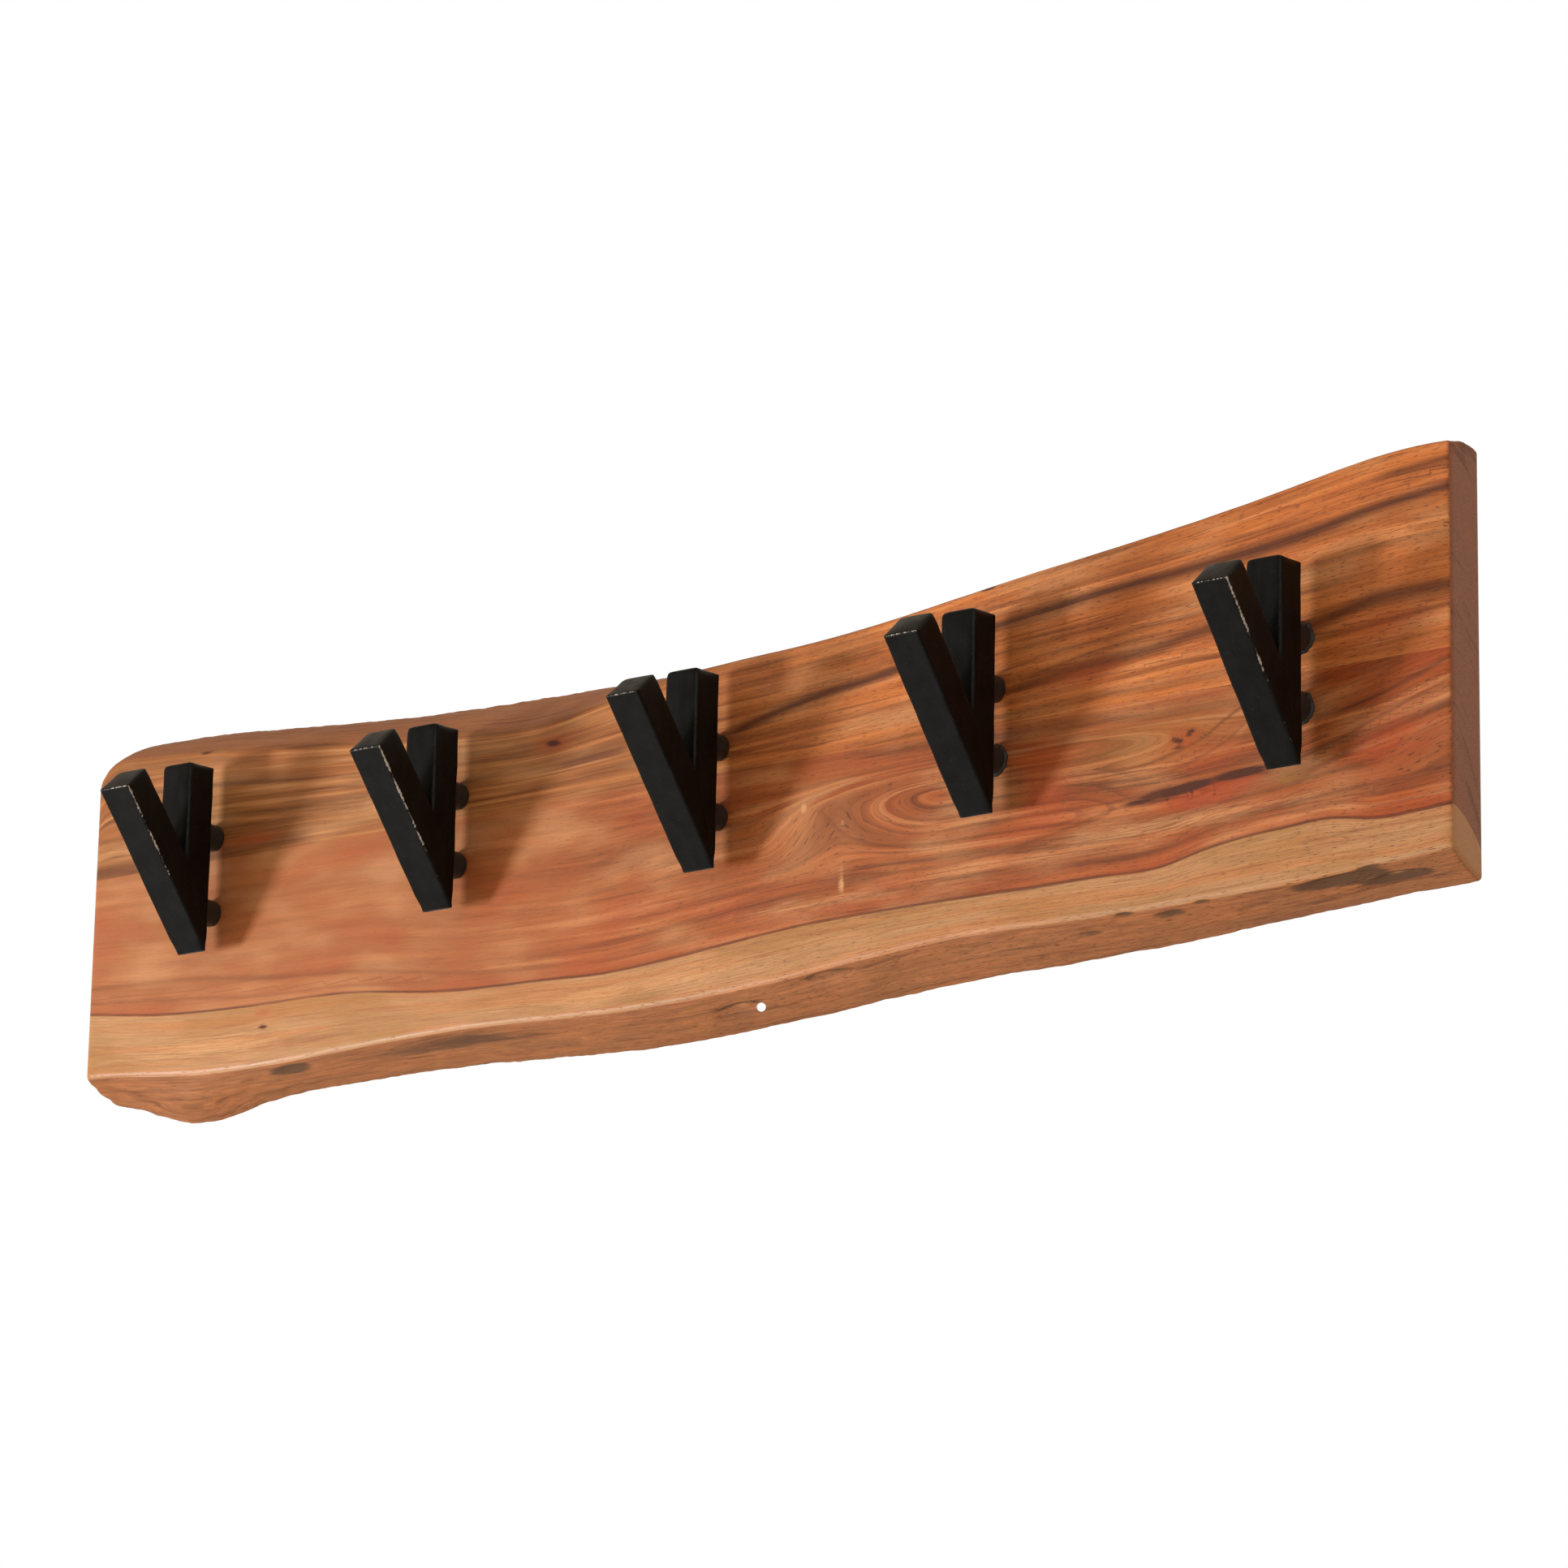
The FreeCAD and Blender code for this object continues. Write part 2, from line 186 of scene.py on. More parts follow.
# Dark patches of the bark side; those over the hollows are painted shade in the hollows.
BARK_STAINS_AND_SHADE = [  # x, depth, half length, half width, darkness
    (-251, 4.6, 15, 3.2, 0.95), (-160, 6, 75, 6, 0.6), (-110, 14, 50, 4, 0.45),
    (318, 4.4, 25, 3.6, 1.25), (344, 9.5, 18, 3.4, 1.2),
    (334, 0.6, 8, 2.2, 0.9), (56, 3.2, 15, 1.8, 0.8),
    (4, 8.2, 16, 2.2, 0.9), (235, 4.5, 11, 2, 0.8), (213, 1.5, 6, 1.6, 0.8),
    (252, 1.5, 6, 1.6, 0.7), (192, 7.9, 10, 2, 0.6), (-318, 13, 13, 5, 0.4),
    (128, 7.3, 9, 2.4, 0.4), (275, 9, 14, 2, 0.55), (-60, 15, 30, 3, 0.4)]


def srgb(red, green, blue):
    """A colour given as 0 to 255, in the linear values that shaders take."""
    values = [v / 255 for v in (red, green, blue)]
    return tuple(v / 12.92 if v <= 0.04045 else ((v + 0.055) / 1.055) ** 2.4
                 for v in values)


def colour(name, description, default):
    return bpy.props.FloatVectorProperty(name=name, description=description, size=3,
                                         subtype="COLOR", min=0, max=1, default=default)


def length(name, description, millimetres):
    return bpy.props.FloatProperty(name=name, description=description, unit="LENGTH",
                                   min=0, precision=4, default=millimetres * MM)


class BoardSettings(bpy.types.PropertyGroup):
    cells_long: bpy.props.IntProperty(
        name="Cells along", description="Mesh cells along each board", default=480)
    cells_high: bpy.props.IntProperty(
        name="Cells up", description="Mesh cells up each board's face", default=60)
    cells_deep: bpy.props.IntProperty(
        name="Cells deep", description="Mesh cells through each board", default=20)
    edge_round: length("Edge rounding", "Radius worn on the plank's edges", 1.9)
    screw_clearance: length("Screw hole radius", "Hole through the plank", 2.8)
    counterbore: length("Counterbore radius", "Sinking for a screw head", 5.6)
    counterbore_depth: length("Counterbore depth", "Depth of the sinking", 8.0)
    channel: length("Branch hole radius", "Natural hole by the bark edge", 2.0)
    heart_pink: colour("Pink heartwood", "Lower board, left", srgb(168, 101, 58))
    heart_red: colour("Red heartwood", "Lower board, right", srgb(158, 77, 29))
    upper_pale: colour("Pale upper board", "Upper board, left", srgb(160, 101, 54))
    upper_warm: colour("Warm upper board", "Upper board, right", srgb(190, 108, 50))
    sapwood: colour("Sapwood", "Pale outer wood", srgb(184, 136, 92))
    streak: colour("Dark streak", "Mineral streaks", srgb(76, 32, 13))
    # This colour also paints shade into the cast shadows of hooks 1 and 4.
    red: colour("Red patch", "Wood round a knot", srgb(166, 62, 24))
    olive: colour("Olive patch", "Stained wood", srgb(150, 104, 44))
    pale: colour("Pale fleck", "Lighter flecks", srgb(218, 166, 116))
    bark_side: colour("Bark side", "Wood just under the bark", srgb(146, 90, 54))
    # This colour also paints the shade in the hollows of the bark edge.
    bark_dark: colour("Bark remains", "Dark patches of inner bark", srgb(62, 38, 24))
    end_grain: colour("End grain", "Sawn ends", srgb(138, 86, 66))


class HookSettings(bpy.types.PropertyGroup):
    bar_round: length("Bar edge radius", "Rounding of the long edges", 2.0)
    end_round: length("Bar end radius", "Dressing of the top end", 3.4)
    front_end_round: length("Front end radius", "Dressing of the leaning bar's top end", 1.2)
    end_crisp: length("Crisp end radius", "The top end's outer edge", 0.5)
    lean: bpy.props.FloatProperty(
        name="Lean", description="Front bar's angle from upright", subtype="ANGLE",
        default=math.radians(41.5))
    unevenness: length("Unevenness", "Hand grinding of the faces", 0.18)
    black: colour("Black paint", "Satin black", (0.0022, 0.0023, 0.0024))
    # This colour also paints the highlight along the worn bar edges.
    bare_steel_and_highlight: colour("Worn steel", "Steel where the paint is rubbed off",
                       srgb(186, 178, 170))


class MetalSettings(bpy.types.PropertyGroup):
    screw_steel: colour("Screw steel", "Zinc-plated screws", srgb(190, 190, 186))
    hanger_steel: colour("Hanger steel", "Yellow-passivated hangers", srgb(196, 176, 128))


class StageSettings(bpy.types.PropertyGroup):
    camera_place: bpy.props.FloatVectorProperty(
        name="Camera", description="Where the camera stands", subtype="TRANSLATION",
        default=(1.62981, -2.24530, -0.74414))
    turn: bpy.props.FloatProperty(name="Turn", description="Camera heading",
                                  subtype="ANGLE", default=0.62321)
    tip: bpy.props.FloatProperty(name="Tip", description="Camera looks up by this",
                                 subtype="ANGLE", default=0.26732)
    roll: bpy.props.FloatProperty(name="Roll", description="Camera roll",
                                  subtype="ANGLE", default=0.01845)
    lens: bpy.props.FloatProperty(name="Lens", description="Focal length in millimetres",
                                  default=145.81)
    floor_height: bpy.props.FloatProperty(
        name="Floor", description="Height of the floor below the rack", unit="LENGTH",
        default=-1.7)
    floor_colour: colour("Floor", "Pale floor", (0.80, 0.79, 0.77))
    key_power: bpy.props.FloatProperty(name="Key light", description="Watts",
                                       default=104.0)
    room_light: bpy.props.FloatProperty(
        name="Room light", description="Strength of the even light", default=0.72)


# ---- bench: small helpers for modelling ----

def deselect_all():
    if bpy.context.object and bpy.context.object.mode != "OBJECT":
        bpy.ops.object.mode_set(mode="OBJECT")
    bpy.ops.object.select_all(action="DESELECT")


def only(obj):
    deselect_all()
    obj.select_set(True)
    bpy.context.view_layer.objects.active = obj


def new_block(name, low, high):
    """A box from one corner to the other, in metres, ready for edit mode."""
    deselect_all()
    low, high = Vector(low), Vector(high)
    bpy.ops.mesh.primitive_cube_add(size=1.0, location=(low + high) / 2)
    block = bpy.context.object
    block.name = name
    block.scale = high - low
    bpy.ops.object.transform_apply(location=True, rotation=True, scale=True)
    return block


def select_edges(obj, wanted):
    """In edit mode, selects the edges for which wanted is true, and counts them."""
    bpy.ops.mesh.select_mode(type="EDGE")
    bpy.ops.mesh.select_all(action="DESELECT")
    mesh = bmesh.from_edit_mesh(obj.data)
    count = 0
    for edge in mesh.edges:
        if wanted(edge):
            edge.select = True
            count += 1
    mesh.select_flush_mode()
    bmesh.update_edit_mesh(obj.data)
    if not count:
        raise RuntimeError("no edges were found on " + obj.name)
    return count


def runs_along(axis):
    def test(edge):
        line = edge.verts[1].co - edge.verts[0].co
        return abs(line[axis]) > 0.999 * line.length
    return test


def divide(obj, axis, rounds):
    """Cuts all edges along the axis into equal cells; rounds multiply."""
    only(obj)
    bpy.ops.object.mode_set(mode="EDIT")
    for cells in rounds:
        select_edges(obj, runs_along(axis))
        bpy.ops.mesh.subdivide(number_cuts=cells - 1)
    bpy.ops.object.mode_set(mode="OBJECT")


def points_of(obj):
    values = np.empty(len(obj.data.vertices) * 3)
    obj.data.vertices.foreach_get("co", values)
    return values.reshape(-1, 3)


def move_points(obj, values):
    obj.data.vertices.foreach_set("co", np.asarray(values, float).ravel())
    obj.data.update()


def store(obj, name, *columns):
    """Keeps three numbers at every vertex, for the material to read."""
    layer = obj.data.attributes.new(name, "FLOAT_VECTOR", "POINT")
    layer.data.foreach_set("vector", np.stack(columns, axis=1).astype(float).ravel())


def cut_away(obj, rounds):
    """Takes each round of cutters out of obj and throws them away."""
    for cutters in rounds:
        only(cutters[0])
        for cutter in cutters:
            cutter.select_set(True)
        bpy.ops.object.join()
        cutter = bpy.context.object
        only(obj)
        modifier = obj.modifiers.new("cut", "BOOLEAN")
        modifier.operation = "DIFFERENCE"
        modifier.solver = "MANIFOLD"
        modifier.object = cutter
        bpy.ops.object.modifier_apply(modifier=modifier.name)
        bpy.data.objects.remove(cutter)


def drill(radius, start, end, sides=32):
    """A round cutter between two points, in millimetres."""
    start, end = Vector(start) * MM, Vector(end) * MM
    line = end - start
    deselect_all()
    bpy.ops.mesh.primitive_cylinder_add(vertices=sides, radius=radius, depth=line.length,
                                        location=(start + end) / 2)
    cutter = bpy.context.object
    cutter.rotation_mode = "QUATERNION"
    cutter.rotation_quaternion = line.to_track_quat("Z", "Y")
    bpy.ops.object.transform_apply(location=True, rotation=True, scale=True)
    return cutter


def finish_piece(obj, material, nodes, sharp_degrees=35):
    """Material, smooth shading, and its place in the frame."""
    obj.data.materials.clear()
    obj.data.materials.append(material)
    only(obj)
    bpy.ops.object.shade_smooth_by_angle(angle=math.radians(sharp_degrees))
    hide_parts(*nodes)
    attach(obj, "root")


def ease(low, high, value):
    """0 below low, 1 above high, and smooth between."""
    t = np.clip((value - low) / (high - low), 0, 1)
    return t * t * (3 - 2 * t)


def through(points, x):
    """A smooth line through the points, read at every x."""
    px, pz = np.array(points, float).T
    slope = np.gradient(pz, px)
    i = np.clip(np.searchsorted(px, x) - 1, 0, len(px) - 2)
    width = px[i + 1] - px[i]
    t = np.clip((x - px[i]) / width, 0, 1)
    return ((2 * t ** 3 - 3 * t ** 2 + 1) * pz[i] + (t ** 3 - 2 * t ** 2 + t) * width * slope[i]
            + (3 * t ** 2 - 2 * t ** 3) * pz[i + 1] + (t ** 3 - t ** 2) * width * slope[i + 1])


def rough(x, y, size_x, size_y, seed):
    """Smooth noise, about -1 to 1, with its own size along and across."""
    return np.array([noise.noise((a / size_x, b / size_y, seed))
                     for a, b in zip(x.tolist(), y.tolist())])


def oval(x, y, place):
    """Squared distance from an oval's centre, 1 at its edge."""
    cx, cy, rx, ry = place
    return ((x - cx) / rx) ** 2 + ((y - cy) / ry) ** 2


# ---- boards ----

def stations(total, cells, near=(0, 0.25, 0.6, 1.15, 1.9), far=True):
    """Places along a side: close together at its edges, even between them."""
    first = list(near)
    last = [total - v for v in reversed(near)] if far else [total]
    inner = cells + 1 - len(first) - len(last)
    step = (last[0] - first[-1]) / (inner + 1)
    return np.array(first + [first[-1] + step * (i + 1) for i in range(inner)] + last)


class Outline:
    """The live edge of a CAD board, felt with rays at three depths."""
    DEPTHS = (0.02, 19.0, THICKNESS - 0.02)

    def __init__(self, node, side):
        self.side = side
        self.xs = stations(2 * HALF_LENGTH, 240) - HALF_LENGTH
        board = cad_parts[node]
        self.heights = []
        for depth in self.DEPTHS:
            row = []
            for x in self.xs:
                x = min(max(x, 0.02 - HALF_LENGTH), HALF_LENGTH - 0.02)
                start = Vector((x, FRONT + depth, side * 500)) * MM
                hit, where, _, _ = board.ray_cast(start, Vector((0, 0, -side)))
                if not hit:
                    raise RuntimeError("no edge found on " + node)
                row.append(where.z / MM)
            self.heights.append(row)

    def at(self, x, depth):
        total = 0
        for i, own in enumerate(self.DEPTHS):
            weight = 1
            for j, other in enumerate(self.DEPTHS):
                if j != i:
                    weight = weight * (depth - other) / (own - other)
            total = total + weight * np.interp(x, self.xs, self.heights[i])
        return total


def bark_relief(x, depth, side):
    """How far the bark side lies inside its smooth outline, in millimetres."""
    seed = 3.7 if side < 0 else 9.1
    inside = ease(0.0, 5.0, depth)
    relief = 0.45 * rough(x, depth, 26, 9, seed) + 0.28 * rough(x, depth, 9, 2.2, seed + 5)
    relief = relief + 0.3 * rough(x, depth, 3.8, 3.2, seed + 9) * ease(10, 21, depth)
    if side < 0:
        relief = relief + 0.9 * rough(x + depth, depth, 13, 4, 2.2) * (1 - ease(-290, -215, x))
    relief = (relief + 0.35) * inside
    if side < 0:
        for place in HOLLOWS:
            relief = relief + place[4] * np.exp(-1.6 * oval(x, depth, place[:4]) ** 1.5)
        for place in LUMPS:
            relief = relief - place[4] * np.exp(-oval(x, depth, place[:4]))
    return relief


def shape_board(board, outline, settings):
    """Turns the divided unit block into a board with a live edge."""
    cells = (settings.cells_long, settings.cells_deep, settings.cells_high)
    unit = points_of(board)
    i, j, k = (np.rint(unit[:, a] * cells[a]).astype(int) for a in range(3))
    side = outline.side
    x = (stations(2 * HALF_LENGTH, cells[0]) - HALF_LENGTH)[i]
    depth = stations(THICKNESS, cells[1])[j]
    if side > 0:
        k = cells[2] - k
    edge = outline.at(x, depth)
    tall = side * (edge - GLUE_LINE)
    near = stations(1000.0, cells[2], far=False)[:5]
    steps = cells[2] - 4
    height = np.where(k < 5, near[np.minimum(k, 4)],
                      near[4] + (tall - near[4]) * (k - 4) / steps)

    # wear the corners round
    radius = settings.edge_round / MM
    radius = radius * (1 + 0.35 * rough(x, depth * 0, 18, 1, 1.5))
    inner = [np.clip(x, radius - HALF_LENGTH, HALF_LENGTH - radius),
             np.clip(depth, radius, THICKNESS - radius), np.maximum(height, radius)]
    away = [x - inner[0], depth - inner[1], height - inner[2]]
    reach = np.sqrt(sum(a * a for a in away))
    keep = np.where(reach > 1e-9, radius / np.maximum(reach, 1e-9), 0)
    x, depth, height = (c + a * keep for c, a in zip(inner, away))

    relief = bark_relief(x, depth, side) * np.exp(-np.maximum(height, 0) / 7)
    height = height + relief
    edge = outline.at(x, depth)
    z = edge - side * height
    glued = k == cells[2]
    z = np.where(glued, GLUE_LINE, z)
    move_points(board, np.stack([x, FRONT + depth, z], axis=1) * MM)


def board_cutters(level, settings):
    """Screw holes, and the hanger recesses or the branch hole, in rounds that don't touch."""
    over = 1.0
    sink = settings.counterbore_depth / MM
    holes, sinkings = [], []
    for number in HOOK_NUMBERS:
        low, high = box_mm(f"hook_{number}_{level}_standoff")
        x, z = (low.x + high.x) / 2, (low.z + high.z) / 2
        holes.append(drill(settings.screw_clearance, (x, FRONT - over, z), (x, over, z)))
        sinkings.append(drill(settings.counterbore, (x, -sink, z), (x, over, z), 48))
    if level == "lower":
        mouth, way = Vector(CHANNEL_MOUTH), Vector(CHANNEL_DIRECTION)
        branch = drill(settings.channel, mouth - 30 * way, mouth + 30 * way)
        return [holes, sinkings, [branch]]
    recesses, mouths, tops, slots, pilots = [], [], [], [], []
    for hand in ("left", "right"):
        low, high = box_mm(hand + "_hanger_plate")
        middle = (low + high) / 2
        fit = Vector((0.2, 0, 0.2))
        recesses.append(new_block("recess", (low - fit) * MM,
                                  (Vector((high.x, over, high.z)) + fit) * MM))
        mouth_z = middle.z - 4
        for z, group in ((mouth_z, mouths), (mouth_z + 9, tops)):
            group.append(drill(6 * MM, (middle.x, -10, z), (middle.x, over, z), 40))
        slots.append(new_block("slot", Vector((middle.x - 6, -10, mouth_z)) * MM,
                               Vector((middle.x + 6, over, mouth_z + 9)) * MM))
        for z in (middle.z - 17, middle.z + 17):
            pilots.append(drill(1.75 * MM, (middle.x, -16, z), (middle.x, over, z)))
    return [holes, sinkings, recesses, mouths, tops, slots, pilots]


CHANNEL_MOUTH = (18.0, -17.0, -94.0)
CHANNEL_DIRECTION = (-0.57, 0.79, 0.23)


def marks_at(x, z, marks):
    total = np.zeros_like(x)
    for cx, cz, rx, rz, tilt, strength in marks:
        turn = math.radians(tilt)
        along = (x - cx) * math.cos(turn) + (z - cz) * math.sin(turn)
        across = (z - cz) * math.cos(turn) - (x - cx) * math.sin(turn)
        total = np.maximum(total, strength * np.exp(-1.1 * ((along / rx) ** 2
                                                            + (across / rz) ** 2)))
    return total


def nearest_streak(x, z, streaks):
    """Distance to the nearest dark streak, its half width and its strength."""
    best = np.full_like(x, 1e9)
    distance = np.full_like(x, 99.0)
    width = np.ones_like(x)
    strength = np.zeros_like(x)
    for points, half, dark in streaks:
        start, end = points[0][0], points[-1][0]
        away = z - through(points, x)
        fade = ease(start - 8, start + 12, x) * (1 - ease(end - 12, end + 8, x))
        if end >= HALF_LENGTH:
            fade = ease(start - 8, start + 12, x)
        if start <= -HALF_LENGTH:
            fade = 1 - ease(end - 12, end + 8, x)
        own = dark * fade * (1 - ease(2.2 * half + 1, 3.5 * half + 2, np.abs(away)))
        closer = (np.abs(away) / half < best) & (own > 0)
        best = np.where(closer, np.abs(away) / half, best)
        distance = np.where(closer, away, distance)
        width = np.where(closer, half, width)
        strength = np.where(closer, own, strength)
    return distance, width, strength


def grow_figure(board, outline):
    """Stores the grain, rings, streaks, stained patches and painted shade of one board at its
    vertices.
    """
    x, y, z = (points_of(board) / MM).T
    depth = y - FRONT
    side = outline.side
    edge = outline.at(x, depth)
    inside = side * (edge - z)
    bark = (1 - ease(2.0, 3.6, inside)) * ease(0.4, 1.4, depth)
    # the rings lean and curve as they go back through the plank
    z = z + 0.22 * depth + 0.018 * depth ** 2
    crease = outline.at(x, x * 0)
    if side < 0:
        sap = through(SAP_LINE, x)
        above = np.clip((GLUE_LINE - z) / (GLUE_LINE - sap), 0, 1)
        flow = np.where(z > sap, z - (sap + 60) * above,
                        -60 - 26 * (sap - z) / (sap - crease))
        flow = flow - 0.2 * np.maximum(0, x - 290) * ease(-50, -15, z)
        rings = flow / 6.5
        contrast = 0.05 + 0.09 * ease(-60, 200, x)
        for cx, cz, rx, up, down, tall in RING_HILLS:
            tall_z = np.where(z > cz, up, down)
            hill = np.exp(-((x - cx) / rx) ** 2 - ((z - cz) / tall_z) ** 2)
            rings = rings + tall * hill
            contrast = contrast + 0.08 * min(tall / 3, 1) * ease(0.02, 0.4, hill)
            flow = flow + 0.9 * tall * hill
        cx, cz, left, right, up, down, count = CATHEDRAL
        wavy = 2.2 * rough(x, z, 22, 9, 4.4)
        across = np.minimum(x + wavy - cx, 0) / left
        along = (z - cz) / np.where(z > cz, up, down)
        ring = np.hypot(across, along)
        within = (1 - ease(0.5, 1.2, ring)) * (1 - ease(cx + 60, cx + right, x))
        rings = rings * (1 - within) + within * (count * ring ** 1.15)
        flow = flow * (1 - within) + within * (cz - down * ring)
        contrast = contrast * (1 - ease(0, 0.1, within))
        contrast = contrast + ease(0.55, 0.9, within) * (0.55 - 0.3 * ring)
        sap_distance = z - sap
        warm = 0.62 * ease(-260, 60, x) + 0.38 * ease(285, 325, x)
        streaks, dark, red, olive, pale = (STREAKS_LOWER, DARK_MARKS_LOWER,
                                           RED_MARKS_LOWER, OLIVE_MARKS_LOWER,
                                           PALE_MARKS_LOWER)
    else:
        base = GLUE_LINE + 0.05 * np.maximum(0, x)
        flow = 15 + 75 * (z - base) / (crease - base)
        rings = flow / 6.0
        contrast = 0.07 + 0.0 * x
        sap_distance = 0 * x + 60
        warm = ease(-140, 120, x)
        streaks, dark, red, olive, pale = (STREAKS_UPPER, DARK_MARKS_UPPER,
                                           RED_MARKS_UPPER, OLIVE_MARKS_UPPER,
                                           PALE_MARKS_UPPER)
    # dark patches along the bark edge, with painted shade in its hollows
    stain_and_shade = np.zeros_like(x)
    if side < 0:
        for place in BARK_STAINS_AND_SHADE:
            stain_and_shade = np.maximum(stain_and_shade, place[4] * np.exp(-oval(x, depth, place[:4]) ** 1.5))
    stain_and_shade = stain_and_shade * bark
    distance, width, strength = nearest_streak(x, z, streaks)
    store(board, "grain", x, flow, depth)
    store(board, "figure", rings, np.clip(contrast, 0, 1), sap_distance)
    store(board, "streaks", distance, width, strength)
    # the red channel also holds painted shade in the cast shadows of hooks 1 and 4
    store(board, "stains_and_shade", marks_at(x, z, dark), marks_at(x, z, red), marks_at(x, z, olive))
    store(board, "tone", warm, bark, marks_at(x, z, pale))
    sawn = ease(HALF_LENGTH - 1.1, HALF_LENGTH - 0.35, np.abs(x))
    store(board, "bark", stain_and_shade, sawn, stain_and_shade * 0)
    store(board, "place", x, depth, points_of(board)[:, 2] / MM)


# ---- materials ----

class Finish:
    """One material, built node by node."""

    def __init__(self, name):
        self.material = bpy.data.materials.new(name)
        self.material.use_nodes = True
        self.tree = self.material.node_tree
        self.tree.nodes.clear()
        self.output = self.tree.nodes.new("ShaderNodeOutputMaterial")
        self.shader = self.tree.nodes.new("ShaderNodeBsdfPrincipled")
        self.tree.links.new(self.shader.outputs[0], self.output.inputs[0])

    def put(self, socket, value):
        if isinstance(value, bpy.types.NodeSocket):
            self.tree.links.new(value, socket)
        elif hasattr(value, "__len__") and len(value) == 3 and socket.type == "RGBA":
            socket.default_value = (*value, 1)
        else:
            socket.default_value = value

    def set(self, **values):
        for name, value in values.items():
            self.put(self.shader.inputs[name.replace("_", " ")], value)

    def add(self, kind, *values, **settings):
        node = self.tree.nodes.new(kind)
        for name, value in settings.items():
            setattr(node, name, value)
        for socket, value in zip(node.inputs, values):
            if value is not None:
                self.put(socket, value)
        return node

    def maths(self, operation, *values, clamp=False):
        return self.add("ShaderNodeMath", *values, operation=operation,
                        use_clamp=clamp).outputs[0]

    def times(self, a, b):
        return self.maths("MULTIPLY", a, b)

    def plus(self, a, b):
        return self.maths("ADD", a, b)

    def stretch(self, vector, x, y, z):
        return self.add("ShaderNodeVectorMath", vector, (x, y, z),
                        operation="MULTIPLY").outputs[0]

    def shift(self, vector, x, y, z):
        return self.add("ShaderNodeVectorMath", vector, (x, y, z),
                        operation="ADD").outputs[0]

    def noise(self, vector, detail=2.0, roughness=0.5, distortion=0.0):
        node = self.add("ShaderNodeTexNoise")
        self.put(node.inputs["Vector"], vector)
        node.inputs["Scale"].default_value = 1.0
        node.inputs["Detail"].default_value = detail
        node.inputs["Roughness"].default_value = roughness
        node.inputs["Distortion"].default_value = distortion
        return node.outputs["Fac"]

    def between(self, value, low, high, to_low=0.0, to_high=1.0):
        node = self.add("ShaderNodeMapRange", value, low, high, to_low, to_high,
                        interpolation_type="SMOOTHSTEP")
        return node.outputs[0]

    def mix(self, factor, a, b, blend="MIX"):
        node = self.add("ShaderNodeMix", data_type="RGBA", blend_type=blend)
        self.put(node.inputs[0], factor)
        self.put(node.inputs[6], a)
        self.put(node.inputs[7], b)
        return node.outputs[2]

    def brighten(self, colour_in, amount):
        """The colour times a number."""
        grey = self.add("ShaderNodeCombineColor", amount, amount, amount).outputs[0]
        return self.mix(1.0, colour_in, grey, "MULTIPLY")

    def read(self, name):
        return self.add("ShaderNodeAttribute", attribute_name=name,
                        attribute_type="GEOMETRY").outputs["Vector"]

    def split(self, vector):
        return self.add("ShaderNodeSeparateXYZ", vector).outputs

    def bump(self, height, strength, distance_mm):
        node = self.add("ShaderNodeBump")
        node.inputs["Strength"].default_value = strength
        node.inputs["Distance"].default_value = distance_mm * MM
        self.put(node.inputs["Height"], height)
        self.set(Normal=node.outputs[0])


